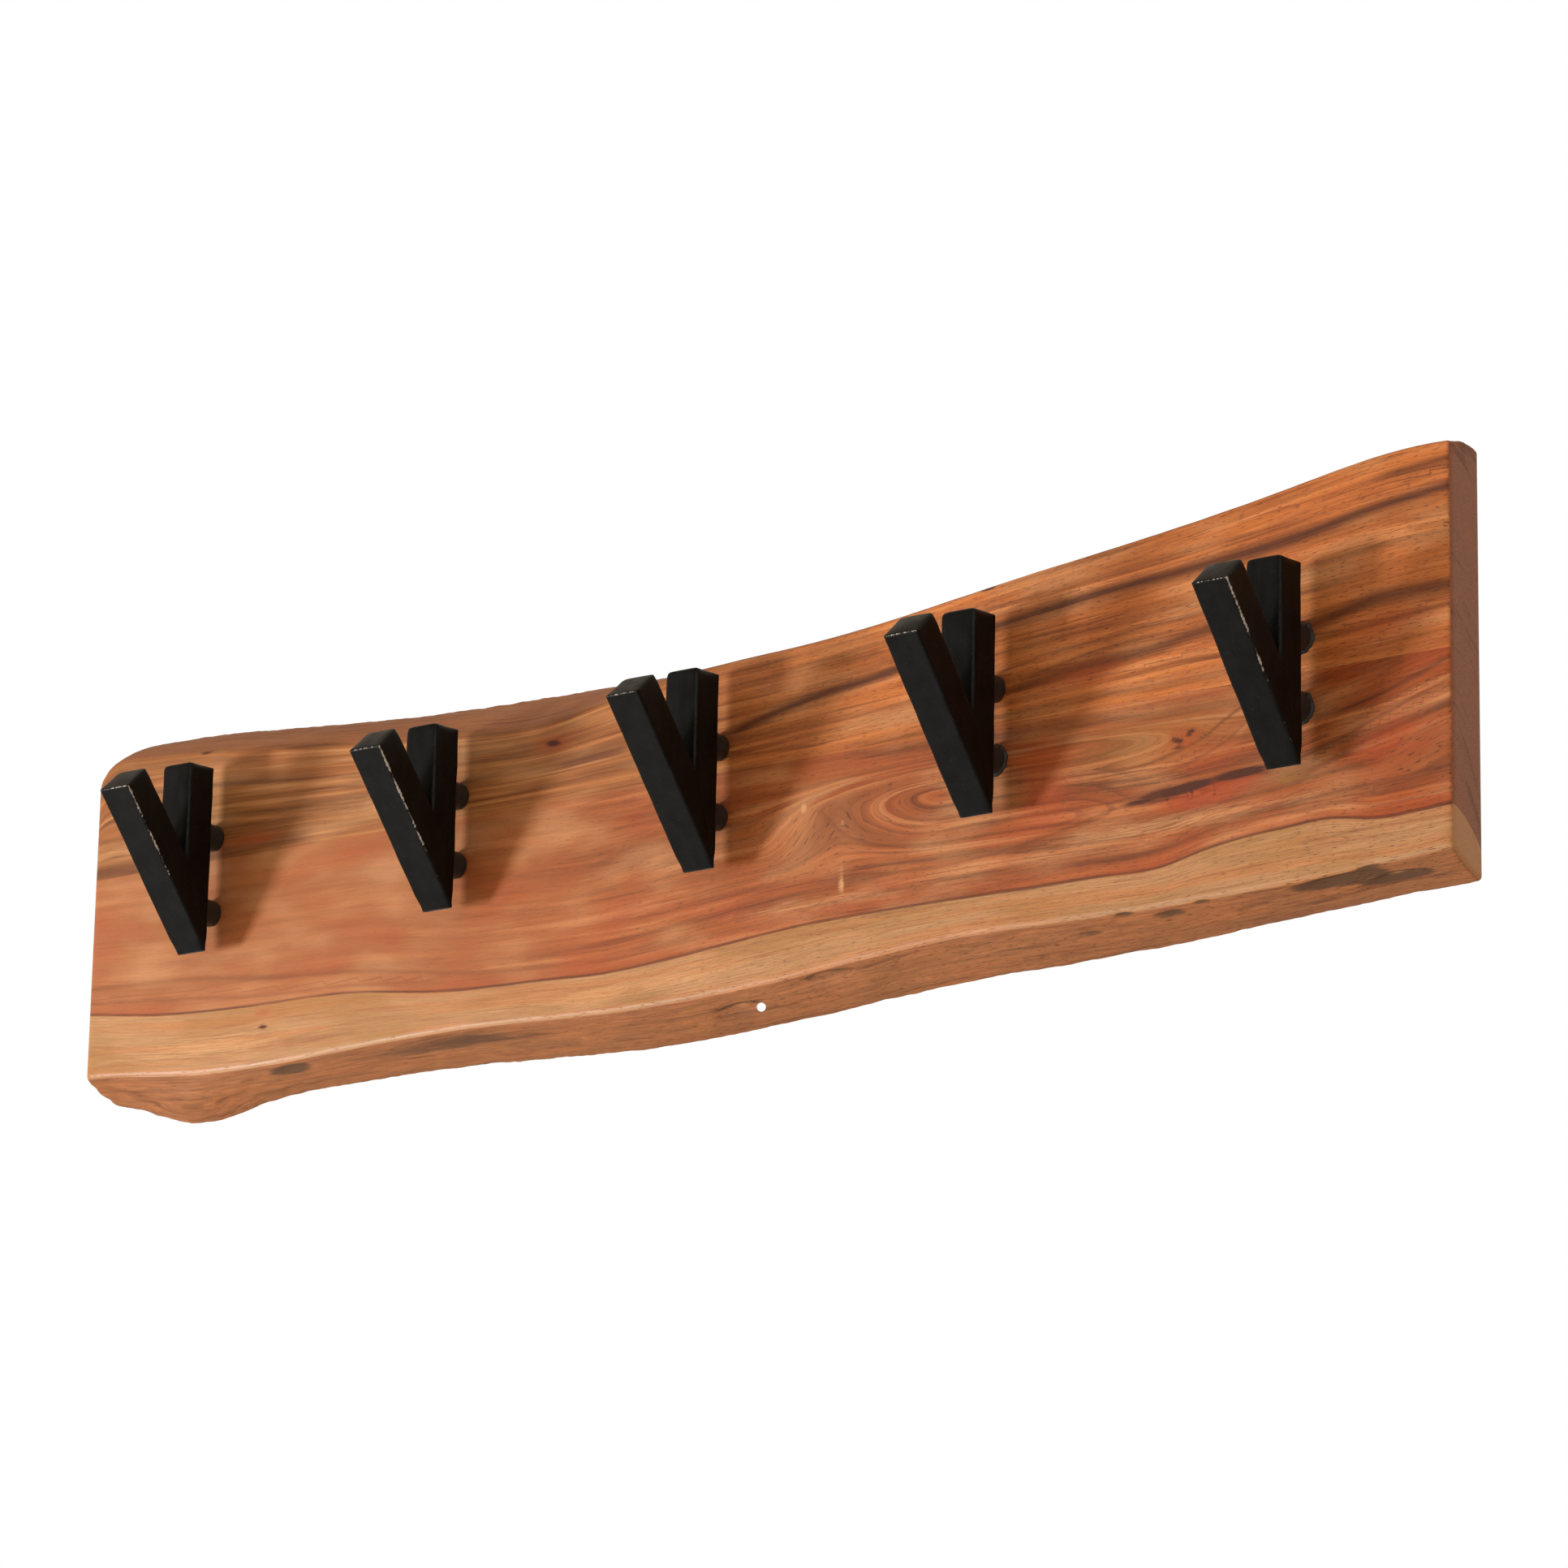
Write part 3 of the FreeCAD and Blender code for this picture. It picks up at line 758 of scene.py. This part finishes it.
def acacia(settings, level):
    """Oiled acacia: fibres, pores, growth rings, mineral streaks and bark side."""
    f = Finish("acacia_" + level)
    grain = f.read("grain")
    rings, contrast, sap = f.split(f.read("figure"))[:3]
    away, half_width, strength = f.split(f.read("streaks"))[:3]
    dark, red, olive = f.split(f.read("stains_and_shade"))[:3]
    warm, bark, pale = f.split(f.read("tone"))[:3]
    stain_and_shade, sawn = f.split(f.read("bark"))[:2]

    broad = f.noise(f.stretch(grain, 0.006, 0.16, 0.16), 3, 0.55, 0.4)
    band = f.noise(f.stretch(grain, 0.013, 0.30, 0.30), 4, 0.6, 0.9)
    fibre = f.noise(f.stretch(grain, 0.035, 1.3, 1.3), 3, 0.65)
    fine = f.noise(f.stretch(grain, 0.12, 3.2, 3.2), 2, 0.6)
    cloud = f.noise(f.stretch(f.shift(grain, 40, 7, 0), 0.016, 0.045, 0.045), 2, 0.5)
    pore_noise = f.noise(f.stretch(f.shift(grain, 11, 3, 5), 0.22, 2.0, 2.0), 1, 0.5)
    pores = f.between(pore_noise, 0.62, 0.70)
    wobble = f.plus(f.times(f.plus(band, -0.5), 3.0), f.times(f.plus(fibre, -0.5), 1.4))

    if level == "lower":
        base = f.mix(warm, settings.heart_pink, settings.heart_red)
        busy = f.between(warm, 0.0, 0.8, 0.2, 1.0)
        ruddy = 0.35
    else:
        base = f.mix(f.maths("ADD", warm, f.times(f.plus(cloud, -0.5), 0.5), clamp=True),
                     settings.upper_pale, settings.upper_warm)
        busy = 0.9
        ruddy = 0.15
    # wide soft bands, then the finer streaks between them
    base = f.mix(busy, base, f.brighten(base, f.between(broad, 0.28, 0.72, 0.6, 1.38)))
    base = f.mix(f.times(f.times(f.between(band, 0.5, 0.7), 0.58), busy), base,
                 settings.streak)
    base = f.mix(f.times(f.between(cloud, 0.45, 0.72), 0.35), base, settings.pale)
    base = f.mix(f.times(f.times(f.between(broad, 0.53, 0.72), 0.4), busy), base,
                 settings.pale)
    base = f.mix(f.times(f.between(cloud, 0.5, 0.28), ruddy), base, settings.red)

    # growth rings: each darkens slowly and ends in a thin dark line
    turn = f.maths("FRACT", f.plus(rings, f.times(f.plus(band, -0.5), 0.5)))
    ring = f.times(f.between(turn, 0.5, 0.93), f.between(turn, 1.0, 0.95))
    base = f.mix(f.times(f.times(ring, contrast), 0.9), base, settings.streak)

    if level == "lower":
        line = f.plus(sap, f.times(wobble, 0.45))
        outer = f.between(line, 0.6, -0.8)
        paler = f.brighten(settings_colour(f, settings.sapwood),
                           f.between(fibre, 0.3, 0.72, 0.86, 1.08))
        paler = f.mix(f.times(f.between(broad, 0.42, 0.62), 0.4), paler, settings.upper_warm)
        paler = f.mix(f.times(f.between(cloud, 0.45, 0.65), 0.35), paler, settings.olive)
        paler = f.mix(f.times(f.between(band, 0.5, 0.75), 0.6), paler, settings.bark_side)
        reddish = f.times(f.between(line, 11.0, 0.5), f.between(line, -0.5, 0.5))
        base = f.mix(f.times(reddish, 0.14), base, settings.red)
        base = f.mix(outer, base, paler)
        thin = f.times(f.between(line, -0.6, 0.1), f.between(line, 1.5, 0.4))
        base = f.mix(f.times(thin, f.between(fibre, 0.25, 0.6, 0.25, 0.8)), base,
                     settings.streak)

    base = f.mix(busy, base, f.brighten(base, f.between(fibre, 0.25, 0.75, 0.86, 1.12)))
    base = f.brighten(base, f.between(fine, 0.2, 0.8, 0.92, 1.07))

    # mineral streaks
    level_away = f.maths("DIVIDE", f.plus(away, wobble), half_width)
    squared = f.maths("POWER", f.maths("ABSOLUTE", level_away), 2.0)
    streak = f.maths("EXPONENT", f.times(squared, -1.0))
    streak = f.times(f.times(streak, strength), f.between(fibre, 0.2, 0.65, 0.75, 1.15))
    base = f.mix(f.maths("MINIMUM", streak, 0.95), base, settings.streak)

    ragged = f.plus(f.times(f.plus(fibre, -0.5), 0.7), f.times(f.plus(fine, -0.5), 0.5))
    # red patches of the wood, and painted shade in the cast shadows of hooks 1 and 4
    base = f.mix(f.times(f.between(f.plus(red, ragged), 0.1, 0.75), 0.65), base, settings.red)
    base = f.mix(f.times(f.between(f.plus(olive, ragged), 0.05, 0.8), 0.6), base,
                 settings.olive)
    base = f.mix(f.times(f.between(f.plus(pale, ragged), 0.2, 0.8), 0.75), base,
                 settings.pale)
    base = f.mix(f.between(f.plus(dark, ragged), 0.28, 0.72), base, settings.streak)

    # the bark side
    worn = f.noise(f.stretch(grain, 0.03, 0.35, 0.35), 4, 0.62, 0.6)
    rough_wood = f.mix(f.between(worn, 0.35, 0.7), settings.bark_side, settings.heart_pink)
    rough_wood = f.brighten(rough_wood, f.between(fibre, 0.2, 0.8, 0.66, 1.2))
    rough_wood = f.mix(f.times(f.between(band, 0.5, 0.72), 0.6), rough_wood, settings.streak)
    # the bark_dark colour marks dark patches of the bark side and paints shade into its hollows
    rough_wood = f.mix(f.between(f.plus(stain_and_shade, f.times(f.plus(worn, -0.5), 0.9)), 0.3, 0.7),
                       rough_wood, settings.bark_dark)
    bark_mask = f.between(f.plus(bark, f.times(f.plus(fibre, -0.5), 0.4)), 0.35, 0.65)
    base = f.mix(f.times(bark_mask, 0.85), base, rough_wood)

    # the sawn ends show the rings as arcs
    depth, tall = f.split(f.read("place"))[1:3]
    across = f.times(f.plus(depth, 14.0), 2.3)
    radius = f.maths("SQRT", f.plus(f.times(across, across),
                                    f.maths("POWER", f.plus(tall, 150.0), 2.0)))
    arcs = f.noise(f.add("ShaderNodeCombineXYZ", f.times(radius, 0.16),
                         f.times(depth, 0.03), f.times(tall, 0.004)).outputs[0], 4, 0.65)
    dots = f.noise(f.stretch(f.read("place"), 1.5, 1.5, 1.5), 3, 0.7)
    ends = f.brighten(settings_colour(f, settings.end_grain),
                      f.between(dots, 0.3, 0.7, 0.78, 1.16))
    ends = f.mix(f.times(f.between(arcs, 0.5, 0.66), 0.3), ends, settings.bark_side)
    ends = f.mix(f.times(f.between(arcs, 0.46, 0.34), 0.5), ends, settings.streak)
    if level == "lower":
        ends = f.mix(f.times(f.between(sap, 0.5, -0.5), 0.75), ends, settings.sapwood)
    base = f.mix(sawn, base, ends)

    base = f.mix(f.times(pores, f.between(warm, 0.0, 1.0, 0.12, 0.75)), base, settings.streak)
    gloss = f.plus(f.between(fibre, 0.2, 0.8, 0.36, 0.5), f.times(pores, 0.2))
    gloss = f.plus(gloss, f.times(bark_mask, 0.16))
    f.set(Base_Color=base, Roughness=gloss, Specular_IOR_Level=0.35)
    height = f.plus(f.times(fibre, 0.5), f.times(fine, 0.35))
    height = f.plus(height, f.times(pores, -0.8))
    height = f.plus(height, f.times(f.times(bark_mask, worn), 3.0))
    f.bump(height, 0.35, 0.12)
    return f.material


def settings_colour(finish, value):
    """A fixed colour as a socket, so that it can be brightened."""
    node = finish.add("ShaderNodeRGB")
    node.outputs[0].default_value = (*value, 1)
    return node.outputs[0]


def black_paint(settings):
    """Satin black over hand-dressed steel, worn bright along the edges (partly a painted
    highlight), with a painted sheen along the back bars' inner right edge.
    """
    f = Finish("black_paint")
    place = f.add("ShaderNodeTexCoord").outputs["Object"]
    wear_and_sheen, painted_sheen, ring = f.split(f.read("wear_and_sheen"))[:3]
    scuff = f.noise(f.stretch(place, 900, 900, 300), 4, 0.7)
    grit = f.noise(f.stretch(place, 2600, 2600, 2600), 2, 0.6)
    smear = f.noise(f.stretch(place, 160, 160, 60), 3, 0.6)
    paint = f.brighten(settings_colour(f, settings.black),
                       f.between(smear, 0.3, 0.7, 0.75, 1.7))
    # painted sheen: a lighter grey paint along the back bars' inner right edge, in place of a
    # satin highlight
    painted_sheen_mask = f.between(f.plus(painted_sheen, f.times(f.plus(scuff, -0.5), 0.5)), 0.35, 0.75)
    paint = f.mix(f.times(painted_sheen_mask, 0.8), paint, (0.034, 0.038, 0.042))
    # exposed steel where the paint is worn off the edges, partly a painted highlight along
    # them; the ring by the standoffs is worn steel
    rubbed_and_highlight = f.between(f.plus(f.times(wear_and_sheen, 1.0), f.times(f.plus(scuff, -0.5), 1.1)),
                       0.62, 0.80)
    rubbed_and_highlight = f.maths("MAXIMUM", rubbed_and_highlight, f.between(f.times(ring, f.plus(grit, 0.4)),
                                                  0.5, 0.72))
    specks = f.times(f.between(grit, 0.735, 0.76), 0.5)
    bare_and_highlight = f.maths("MAXIMUM", rubbed_and_highlight, specks)
    f.set(Base_Color=f.mix(f.times(bare_and_highlight, 0.85), paint, settings.bare_steel_and_highlight))
    f.set(Metallic=f.times(rubbed_and_highlight, 0.25))
    f.set(Roughness=f.plus(f.between(smear, 0.3, 0.7, 0.34, 0.48), f.times(bare_and_highlight, 0.05)))
    f.set(Specular_IOR_Level=0.11)
    f.bump(f.plus(f.times(scuff, 0.6), smear), 0.25, 0.12)
    return f.material


def plated_steel(name, tint, rough_low, rough_high):
    """Thin zinc plate, slightly clouded and brushed."""
    f = Finish(name)
    place = f.add("ShaderNodeTexCoord").outputs["Object"]
    cloud = f.noise(f.stretch(place, 300, 300, 300), 4, 0.6)
    brush = f.noise(f.stretch(place, 4000, 500, 4000), 2, 0.6)
    tone = f.brighten(settings_colour(f, tint), f.between(cloud, 0.3, 0.7, 0.75, 1.05))
    tone = f.mix(f.times(f.between(cloud, 0.58, 0.7), 0.35), tone, srgb(110, 96, 78))
    f.set(Base_Color=tone, Metallic=1.0,
          Roughness=f.plus(f.between(cloud, 0.3, 0.7, rough_low, rough_high),
                           f.times(brush, 0.08)))
    f.bump(brush, 0.2, 0.05)
    return f.material


# ---- hooks ----

def make_bar(name, long, number, part, settings):
    """One bar of the V in its own frame, its sharp toe at the origin.

    The outer face is y = 0, the inner face lies behind it at y = thick, and the bar runs
    up +Z. Its foot lies on the plane that halves the V's angle, ground flat at the toe.
    """
    wide, thick = BAR_WIDE, BAR_THICK
    bar = new_block(name, (0, 0, 0), (1, 1, 1))
    cells = (14, 14, 44)
    for axis in range(3):
        divide(bar, axis, (cells[axis],))
    unit = points_of(bar)
    i, j, k = (np.rint(unit[:, a] * cells[a]).astype(int) for a in range(3))
    near = (0, 0.35, 0.8, 1.3, 1.9)
    x = stations(wide / MM, cells[0], near)[i] * MM - wide / 2
    y = stations(thick / MM, cells[1], near)[j] * MM
    from_end = np.where(k > cells[2] - 5, np.array(near)[np.clip(cells[2] - k, 0, 4)] * MM,
                        near[4] * MM)
    part_up = np.minimum(k / (cells[2] - 4), 1)
    z = (long - from_end) * part_up

    # the long edges are rounded, the outer ones least; the toe and the end more
    soft = settings.bar_round * (0.55 + 0.45 * ease(0, 1, y / thick))
    soft = soft * (1 + 0.2 * rough(z, x, 0.02, 1.0, number * 3.1))
    soft = soft + 1.2 * MM * (1 - ease(2 * MM, 9 * MM, z)) * (1 - ease(0, 0.4, y / thick))
    soft = soft + 1.1 * MM * ease(long - 8 * MM, long, z) * ease(0.1, 0.6, y / thick)
    inner_x = np.clip(x, soft - wide / 2, wide / 2 - soft)
    inner_y = np.clip(y, soft, thick - soft)
    # the end is crisp at the outer edge and ground away towards the inner face
    crisp = settings.end_crisp
    ground = settings.front_end_round if part == "front" else settings.end_round
    round_end = crisp + (ground - crisp) * ease(0.02, 0.35, y / thick)
    inner_z = np.minimum(z, long - round_end)
    away = [x - inner_x, y - inner_y, (z - inner_z) * soft / round_end]
    reach = np.sqrt(sum(a * a for a in away))
    keep = np.where(reach > 1e-9, soft / np.maximum(reach, 1e-9), 1)
    x = inner_x + away[0] * keep
    y = inner_y + away[1] * keep
    z = inner_z + away[2] * keep * round_end / soft
    dome = END_DOMES[part][number - 1] * MM
    across = np.clip(y / thick, 0, 1)
    swell = (4 * across * (1 - across)) ** 0.8 * (1 - (2 * x / wide) ** 4)
    inner_edge = INNER_RISE[part][number - 1] * MM
    z = z + ease(long - 9 * MM, long, z) * (dome * swell + inner_edge * across ** 2)

    lean = settings.lean
    mitre = y / math.tan(lean / 2)
    blunt = -SHARP_TOE + 0 * y
    if part == "front":
        blunt = (blunt - y * math.sin(lean)) / math.cos(lean)
    foot = np.maximum(mitre, blunt)
    z = foot + (long - foot) * z / long
    move_points(bar, np.stack([x, y, z], axis=1))
    return bar, z - foot


# How far each top end swells in its middle, and rises or falls at its inner edge, in
# millimetres.
END_DOMES = {"front": (0.5, 0.6, 0.4, 1.1, 0.8), "back": (0.3, 0.3, 0.3, 0.9, 0.4)}
INNER_RISE = {"front": (0.8, 0.8, -0.4, 0.8, 0.8), "back": (-0.3, -0.3, -0.3, -0.9, -0.4)}
BACK_BOX = box_mm("hook_3_back_bar")
BAR_WIDE = (BACK_BOX[1].x - BACK_BOX[0].x) * MM
BAR_THICK = (BACK_BOX[1].y - BACK_BOX[0].y) * MM
SHARP_TOE = -2.0 * MM


class RACK_OT_boards(bpy.types.Operator):
    """Builds the two boards of the plank, with their live edges and all their holes"""
    bl_idname = "rack.boards"
    bl_label = "Boards"

    def execute(self, context):
        settings = context.scene.rack_boards
        for level, side in (("upper", 1), ("lower", -1)):
            node = level + "_board"
            outline = Outline(node, side)
            board = new_block("plank_" + node, (0, 0, 0), (1, 1, 1))
            divide(board, 0, (6, settings.cells_long // 6))
            divide(board, 2, (settings.cells_high,))
            divide(board, 1, (settings.cells_deep,))
            shape_board(board, outline, settings)
            cut_away(board, board_cutters(level, settings))
            grow_figure(board, outline)
            finish_piece(board, acacia(settings, level), [node])
        return {"FINISHED"}


class RACK_OT_hook_bars(bpy.types.Operator):
    """Builds the back and front bars of the five V hooks"""
    bl_idname = "rack.hook_bars"
    bl_label = "Hook bars"

    def execute(self, context):
        settings = context.scene.rack_hooks
        paint = black_paint(settings)
        for number in HOOK_NUMBERS:
            for part in ("back", "front"):
                node = f"hook_{number}_{part}_bar"
                low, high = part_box(node)
                toe = Vector(((low.x + high.x) / 2, BAR_REAR, low.z + SHARP_TOE))
                if part == "back":
                    long = high.z - toe.z
                else:
                    tip = high.z - toe.z - BAR_THICK * math.sin(settings.lean)
                    long = tip / math.cos(settings.lean)
                bar, above = make_bar(f"hook_{number}_{part}", long, number, part, settings)
                self.dress(bar, above, long, number, part, settings)
                if part == "back":
                    self.mirror(bar)
                    turn = Matrix.Identity(4)
                else:
                    turn = Matrix.Rotation(settings.lean, 4, "X")
                bar.matrix_world = Matrix.Translation(toe) @ turn
                only(bar)
                bpy.ops.object.transform_apply(location=True, rotation=True, scale=True)
                finish_piece(bar, paint, [node], 50)
        return {"FINISHED"}

    @staticmethod
    def mirror(bar):
        """Turns the outer face to the wall side."""
        points = points_of(bar)
        points[:, 1] *= -1
        move_points(bar, points)
        only(bar)
        bpy.ops.object.mode_set(mode="EDIT")
        bpy.ops.mesh.select_all(action="SELECT")
        bpy.ops.mesh.normals_make_consistent(inside=False)
        bpy.ops.object.mode_set(mode="OBJECT")

    @staticmethod
    def dress(bar, above, long, number, part, settings):
        """Unevenness of hand grinding, where the paint is worn off (partly a painted
        highlight), and a painted sheen along the back bar's inner right edge.
        """
        x, y, z = points_of(bar).T
        edge_x = BAR_WIDE / 2 - np.abs(x)
        edge_y = np.minimum(y, BAR_THICK - y)
        reach = settings.bar_round
        corner = np.clip(1 - np.hypot(edge_x, edge_y) / reach, 0, 1)
        outer_right = (x > 0) & (y < BAR_THICK / 2)
        level = np.where(outer_right, 1.0, 0.35) if part == "front" else 0.3
        level = level * EDGE_WEAR_AND_HIGHLIGHT[number - 1]
        along = (1 - ease(0, 0.9 * MM, long - z)) * (1 - ease(0, 0.9 * MM, y))
        along = along * (0.95 if part == "front" else 0.0)
        patchy = rough(z, x * 0, 0.011, 1, number)
        level = level * (0.62 + 0.3 * ease(0.2, 0.8, z / long) + 0.35 * patchy)
        # worn edges, partly a painted highlight: strongest on the front bar's outer right edge
        # and towards the top
        rub_and_highlight = np.clip(np.maximum(corner * level, along), 0, 1)
        # painted sheen: the back bar's right edge on its inner face, over its upper part, gets
        # lighter paint in place of a satin highlight
        painted_sheen = corner * (x > 0) * (y > BAR_THICK / 2) * ease(0.25, 0.6, z / long)
        store(bar, "wear_and_sheen", rub_and_highlight, painted_sheen * (part == "back"), z * 0)
        seed = number * 7.3 + (0 if part == "back" else 3.1)
        uneven = rough(z, x + 3 * y, 0.012, 0.010, seed)
        inward = np.stack([-np.sign(x) * (edge_x < reach), -np.sign(y - BAR_THICK / 2)
                           * (edge_y < reach), 0 * z], axis=1)
        amount = settings.unevenness * np.clip(uneven + 0.5, 0, 2) * ease(0, 3 * MM, above)
        move_points(bar, points_of(bar) + inward * amount[:, None])


# How strongly the paint is worn off each hook's long edges; the bright edges are partly a
# painted highlight.
EDGE_WEAR_AND_HIGHLIGHT = (1.0, 1.15, 0.45, 0.5, 1.1)

BAR_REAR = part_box("hook_3_back_bar")[1].y


class RACK_OT_standoffs(bpy.types.Operator):
    """Builds the ten round standoffs between the hooks and the plank"""
    bl_idname = "rack.standoffs"
    bl_label = "Standoffs"

    def execute(self, context):
        paint = bpy.data.materials["black_paint"]
        for number in HOOK_NUMBERS:
            for level in LEVELS:
                node = f"hook_{number}_{level}_standoff"
                low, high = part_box(node)
                radius = (high.x - low.x) / 2
                middle = (low + high) / 2
                stub = drill(radius, (0, low.y / MM, 0), (0, high.y / MM, 0), 48)
                stub.name = f"hook_{number}_standoff_{level}"
                divide(stub, 1, (20,))
                self.turn_down(stub, low.y, high.y, number, level)
                points = points_of(stub)
                points[:, 0] += middle.x
                points[:, 2] += middle.z
                move_points(stub, points)
                finish_piece(stub, paint, [node], 50)
        return {"FINISHED"}

    @staticmethod
    def turn_down(stub, front, back, number, level):
        """Narrows the end at the board, or flares it with crumbs at the bright ones, lays a
        weld bead at the bar, and marks the bright ring.
        """
        x, y, z = points_of(stub).T
        from_bar = (y - front) / MM
        from_board = (back - y) / MM
        around = np.arctan2(z, x)
        bright = {(5, "upper"): 0.75, (5, "lower"): 1.0, (4, "lower"): 0.8}
        bright = bright.get((number, level), 0.2)
        crumbs = rough(4 * np.cos(around), 4 * np.sin(around), 1.0, 1.0, number + 0.5)
        flare = np.where(bright > 0.5, 0.17 + 0.10 * crumbs, -0.08)
        size = 1 + flare * (1 - ease(0.5, 1.1, from_board))
        weld = np.exp(-(from_bar / 1.6) ** 2)
        lumpy = rough(np.cos(around), np.sin(around), 0.5, 0.5, number * 2.1)
        size = size + weld * (0.05 + 0.05 * lumpy)
        move_points(stub, np.stack([x * size, y, z * size], axis=1))
        ring = bright * (1 - ease(0.7, 1.3, from_board))
        store(stub, "wear_and_sheen", x * 0, x * 0, ring)


class RACK_OT_fasteners(bpy.types.Operator):
    """Finishes the screws, washers and hangers at the back"""
    bl_idname = "rack.fasteners"
    bl_label = "Screws and hangers"

    def execute(self, context):
        settings = context.scene.rack_metal
        zinc = plated_steel("zinc_plate", settings.screw_steel, 0.22, 0.4)
        yellow = plated_steel("hanger_plate", settings.hanger_steel, 0.28, 0.45)
        for name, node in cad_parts.items():
            if "screws" in name or "washers" in name:
                finish = zinc
            elif "hanger_plate" in name:
                finish = yellow
            else:
                continue
            node.data.materials.clear()
            node.data.materials.append(finish)
        return {"FINISHED"}


class RACK_OT_stage(bpy.types.Operator):
    """Sets the floor, the light and the camera"""
    bl_idname = "rack.stage"
    bl_label = "Stage"

    def execute(self, context):
        settings = context.scene.rack_stage
        self.floor(settings)
        self.lights(context, settings)
        self.camera(context, settings)
        context.scene.view_settings.view_transform = "Standard"
        return {"FINISHED"}

    @staticmethod
    def floor(settings):
        deselect_all()
        bpy.ops.mesh.primitive_plane_add(size=30, location=(0, 0, settings.floor_height))
        floor = bpy.context.object
        floor.name = "floor"
        f = Finish("pale_floor")
        place = f.add("ShaderNodeTexCoord").outputs["Object"]
        cloud = f.noise(f.stretch(place, 1.5, 1.5, 1.5), 3, 0.5)
        f.set(Base_Color=f.brighten(settings_colour(f, settings.floor_colour),
                                    f.between(cloud, 0.3, 0.7, 0.97, 1.03)),
              Roughness=0.75)
        floor.data.materials.append(f.material)

    @staticmethod
    def light(name, place, aim, size, power):
        deselect_all()
        bpy.ops.object.light_add(type="AREA", location=place)
        lamp = bpy.context.object
        lamp.name = name
        lamp.data.shape = "DISK"
        lamp.data.size = size
        lamp.data.energy = power
        lamp.rotation_mode = "QUATERNION"
        lamp.rotation_quaternion = (Vector(aim) - Vector(place)).to_track_quat("-Z", "Y")
        return lamp

    def lights(self, context, settings):
        middle = (CAD_BOX[0] + CAD_BOX[1]) / 2
        way = Vector((-1.03, -1.0, -0.36)).normalized()
        self.light("key", middle + 3.6 * way, middle, 0.75, settings.key_power)
        world = bpy.data.worlds.new("room")
        context.scene.world = world
        world.use_nodes = True
        tree = world.node_tree
        tree.nodes.clear()
        output = tree.nodes.new("ShaderNodeOutputWorld")
        seen = tree.nodes.new("ShaderNodeBackground")
        seen.inputs[0].default_value = (1, 1, 1, 1)
        seen.inputs[1].default_value = 1.0
        room = tree.nodes.new("ShaderNodeBackground")
        room.inputs[0].default_value = (1.0, 0.84, 0.66, 1)
        room.inputs[1].default_value = settings.room_light
        path = tree.nodes.new("ShaderNodeLightPath")
        mix = tree.nodes.new("ShaderNodeMixShader")
        tree.links.new(path.outputs["Is Camera Ray"], mix.inputs[0])
        tree.links.new(room.outputs[0], mix.inputs[1])
        tree.links.new(seen.outputs[0], mix.inputs[2])
        tree.links.new(mix.outputs[0], output.inputs[0])

    @staticmethod
    def camera(context, settings):
        deselect_all()
        bpy.ops.object.camera_add(location=settings.camera_place)
        camera = bpy.context.object
        turn, tip, roll = settings.turn, settings.tip, settings.roll
        ahead = Vector((-math.sin(turn) * math.cos(tip), math.cos(turn) * math.cos(tip),
                        math.sin(tip)))
        level = Vector((math.cos(turn), math.sin(turn), 0))
        above = level.cross(ahead)
        right = math.cos(roll) * level + math.sin(roll) * above
        up = math.cos(roll) * above - math.sin(roll) * level
        camera.rotation_mode = "QUATERNION"
        camera.rotation_quaternion = Matrix((right, up, -ahead)).transposed().to_quaternion()
        camera.data.sensor_width = 36
        camera.data.lens = settings.lens
        camera.data.clip_start = 0.05
        camera.data.clip_end = 60
        context.scene.camera = camera


class RACK_PT_panel(bpy.types.Panel):
    """Lists the steps that build the rack"""
    bl_label = "Hook rack"
    bl_idname = "RACK_PT_panel"
    bl_space_type = "VIEW_3D"
    bl_region_type = "UI"
    bl_category = "Hook rack"

    def draw(self, context):
        for step in STEPS:
            self.layout.operator(step.bl_idname)
        for group in GROUPS:
            box = self.layout.box()
            for name in GROUPS[group].__annotations__:
                box.prop(getattr(context.scene, group), name)


GROUPS = {"rack_boards": BoardSettings, "rack_hooks": HookSettings,
          "rack_metal": MetalSettings, "rack_stage": StageSettings}
STEPS = (RACK_OT_boards, RACK_OT_hook_bars, RACK_OT_standoffs, RACK_OT_fasteners,
         RACK_OT_stage)


def register():
    for cls in (*GROUPS.values(), *STEPS, RACK_PT_panel):
        bpy.utils.register_class(cls)
    for name, cls in GROUPS.items():
        setattr(bpy.types.Scene, name, bpy.props.PointerProperty(type=cls))


def unregister():
    for name in GROUPS:
        delattr(bpy.types.Scene, name)
    for cls in reversed((*GROUPS.values(), *STEPS, RACK_PT_panel)):
        bpy.utils.unregister_class(cls)


def main():
    register()
    bpy.ops.rack.stage()
    bpy.ops.rack.boards()
    bpy.ops.rack.hook_bars()
    bpy.ops.rack.standoffs()
    bpy.ops.rack.fasteners()
    bpy.context.view_layer.update()


if __name__ == "__main__":
    main()
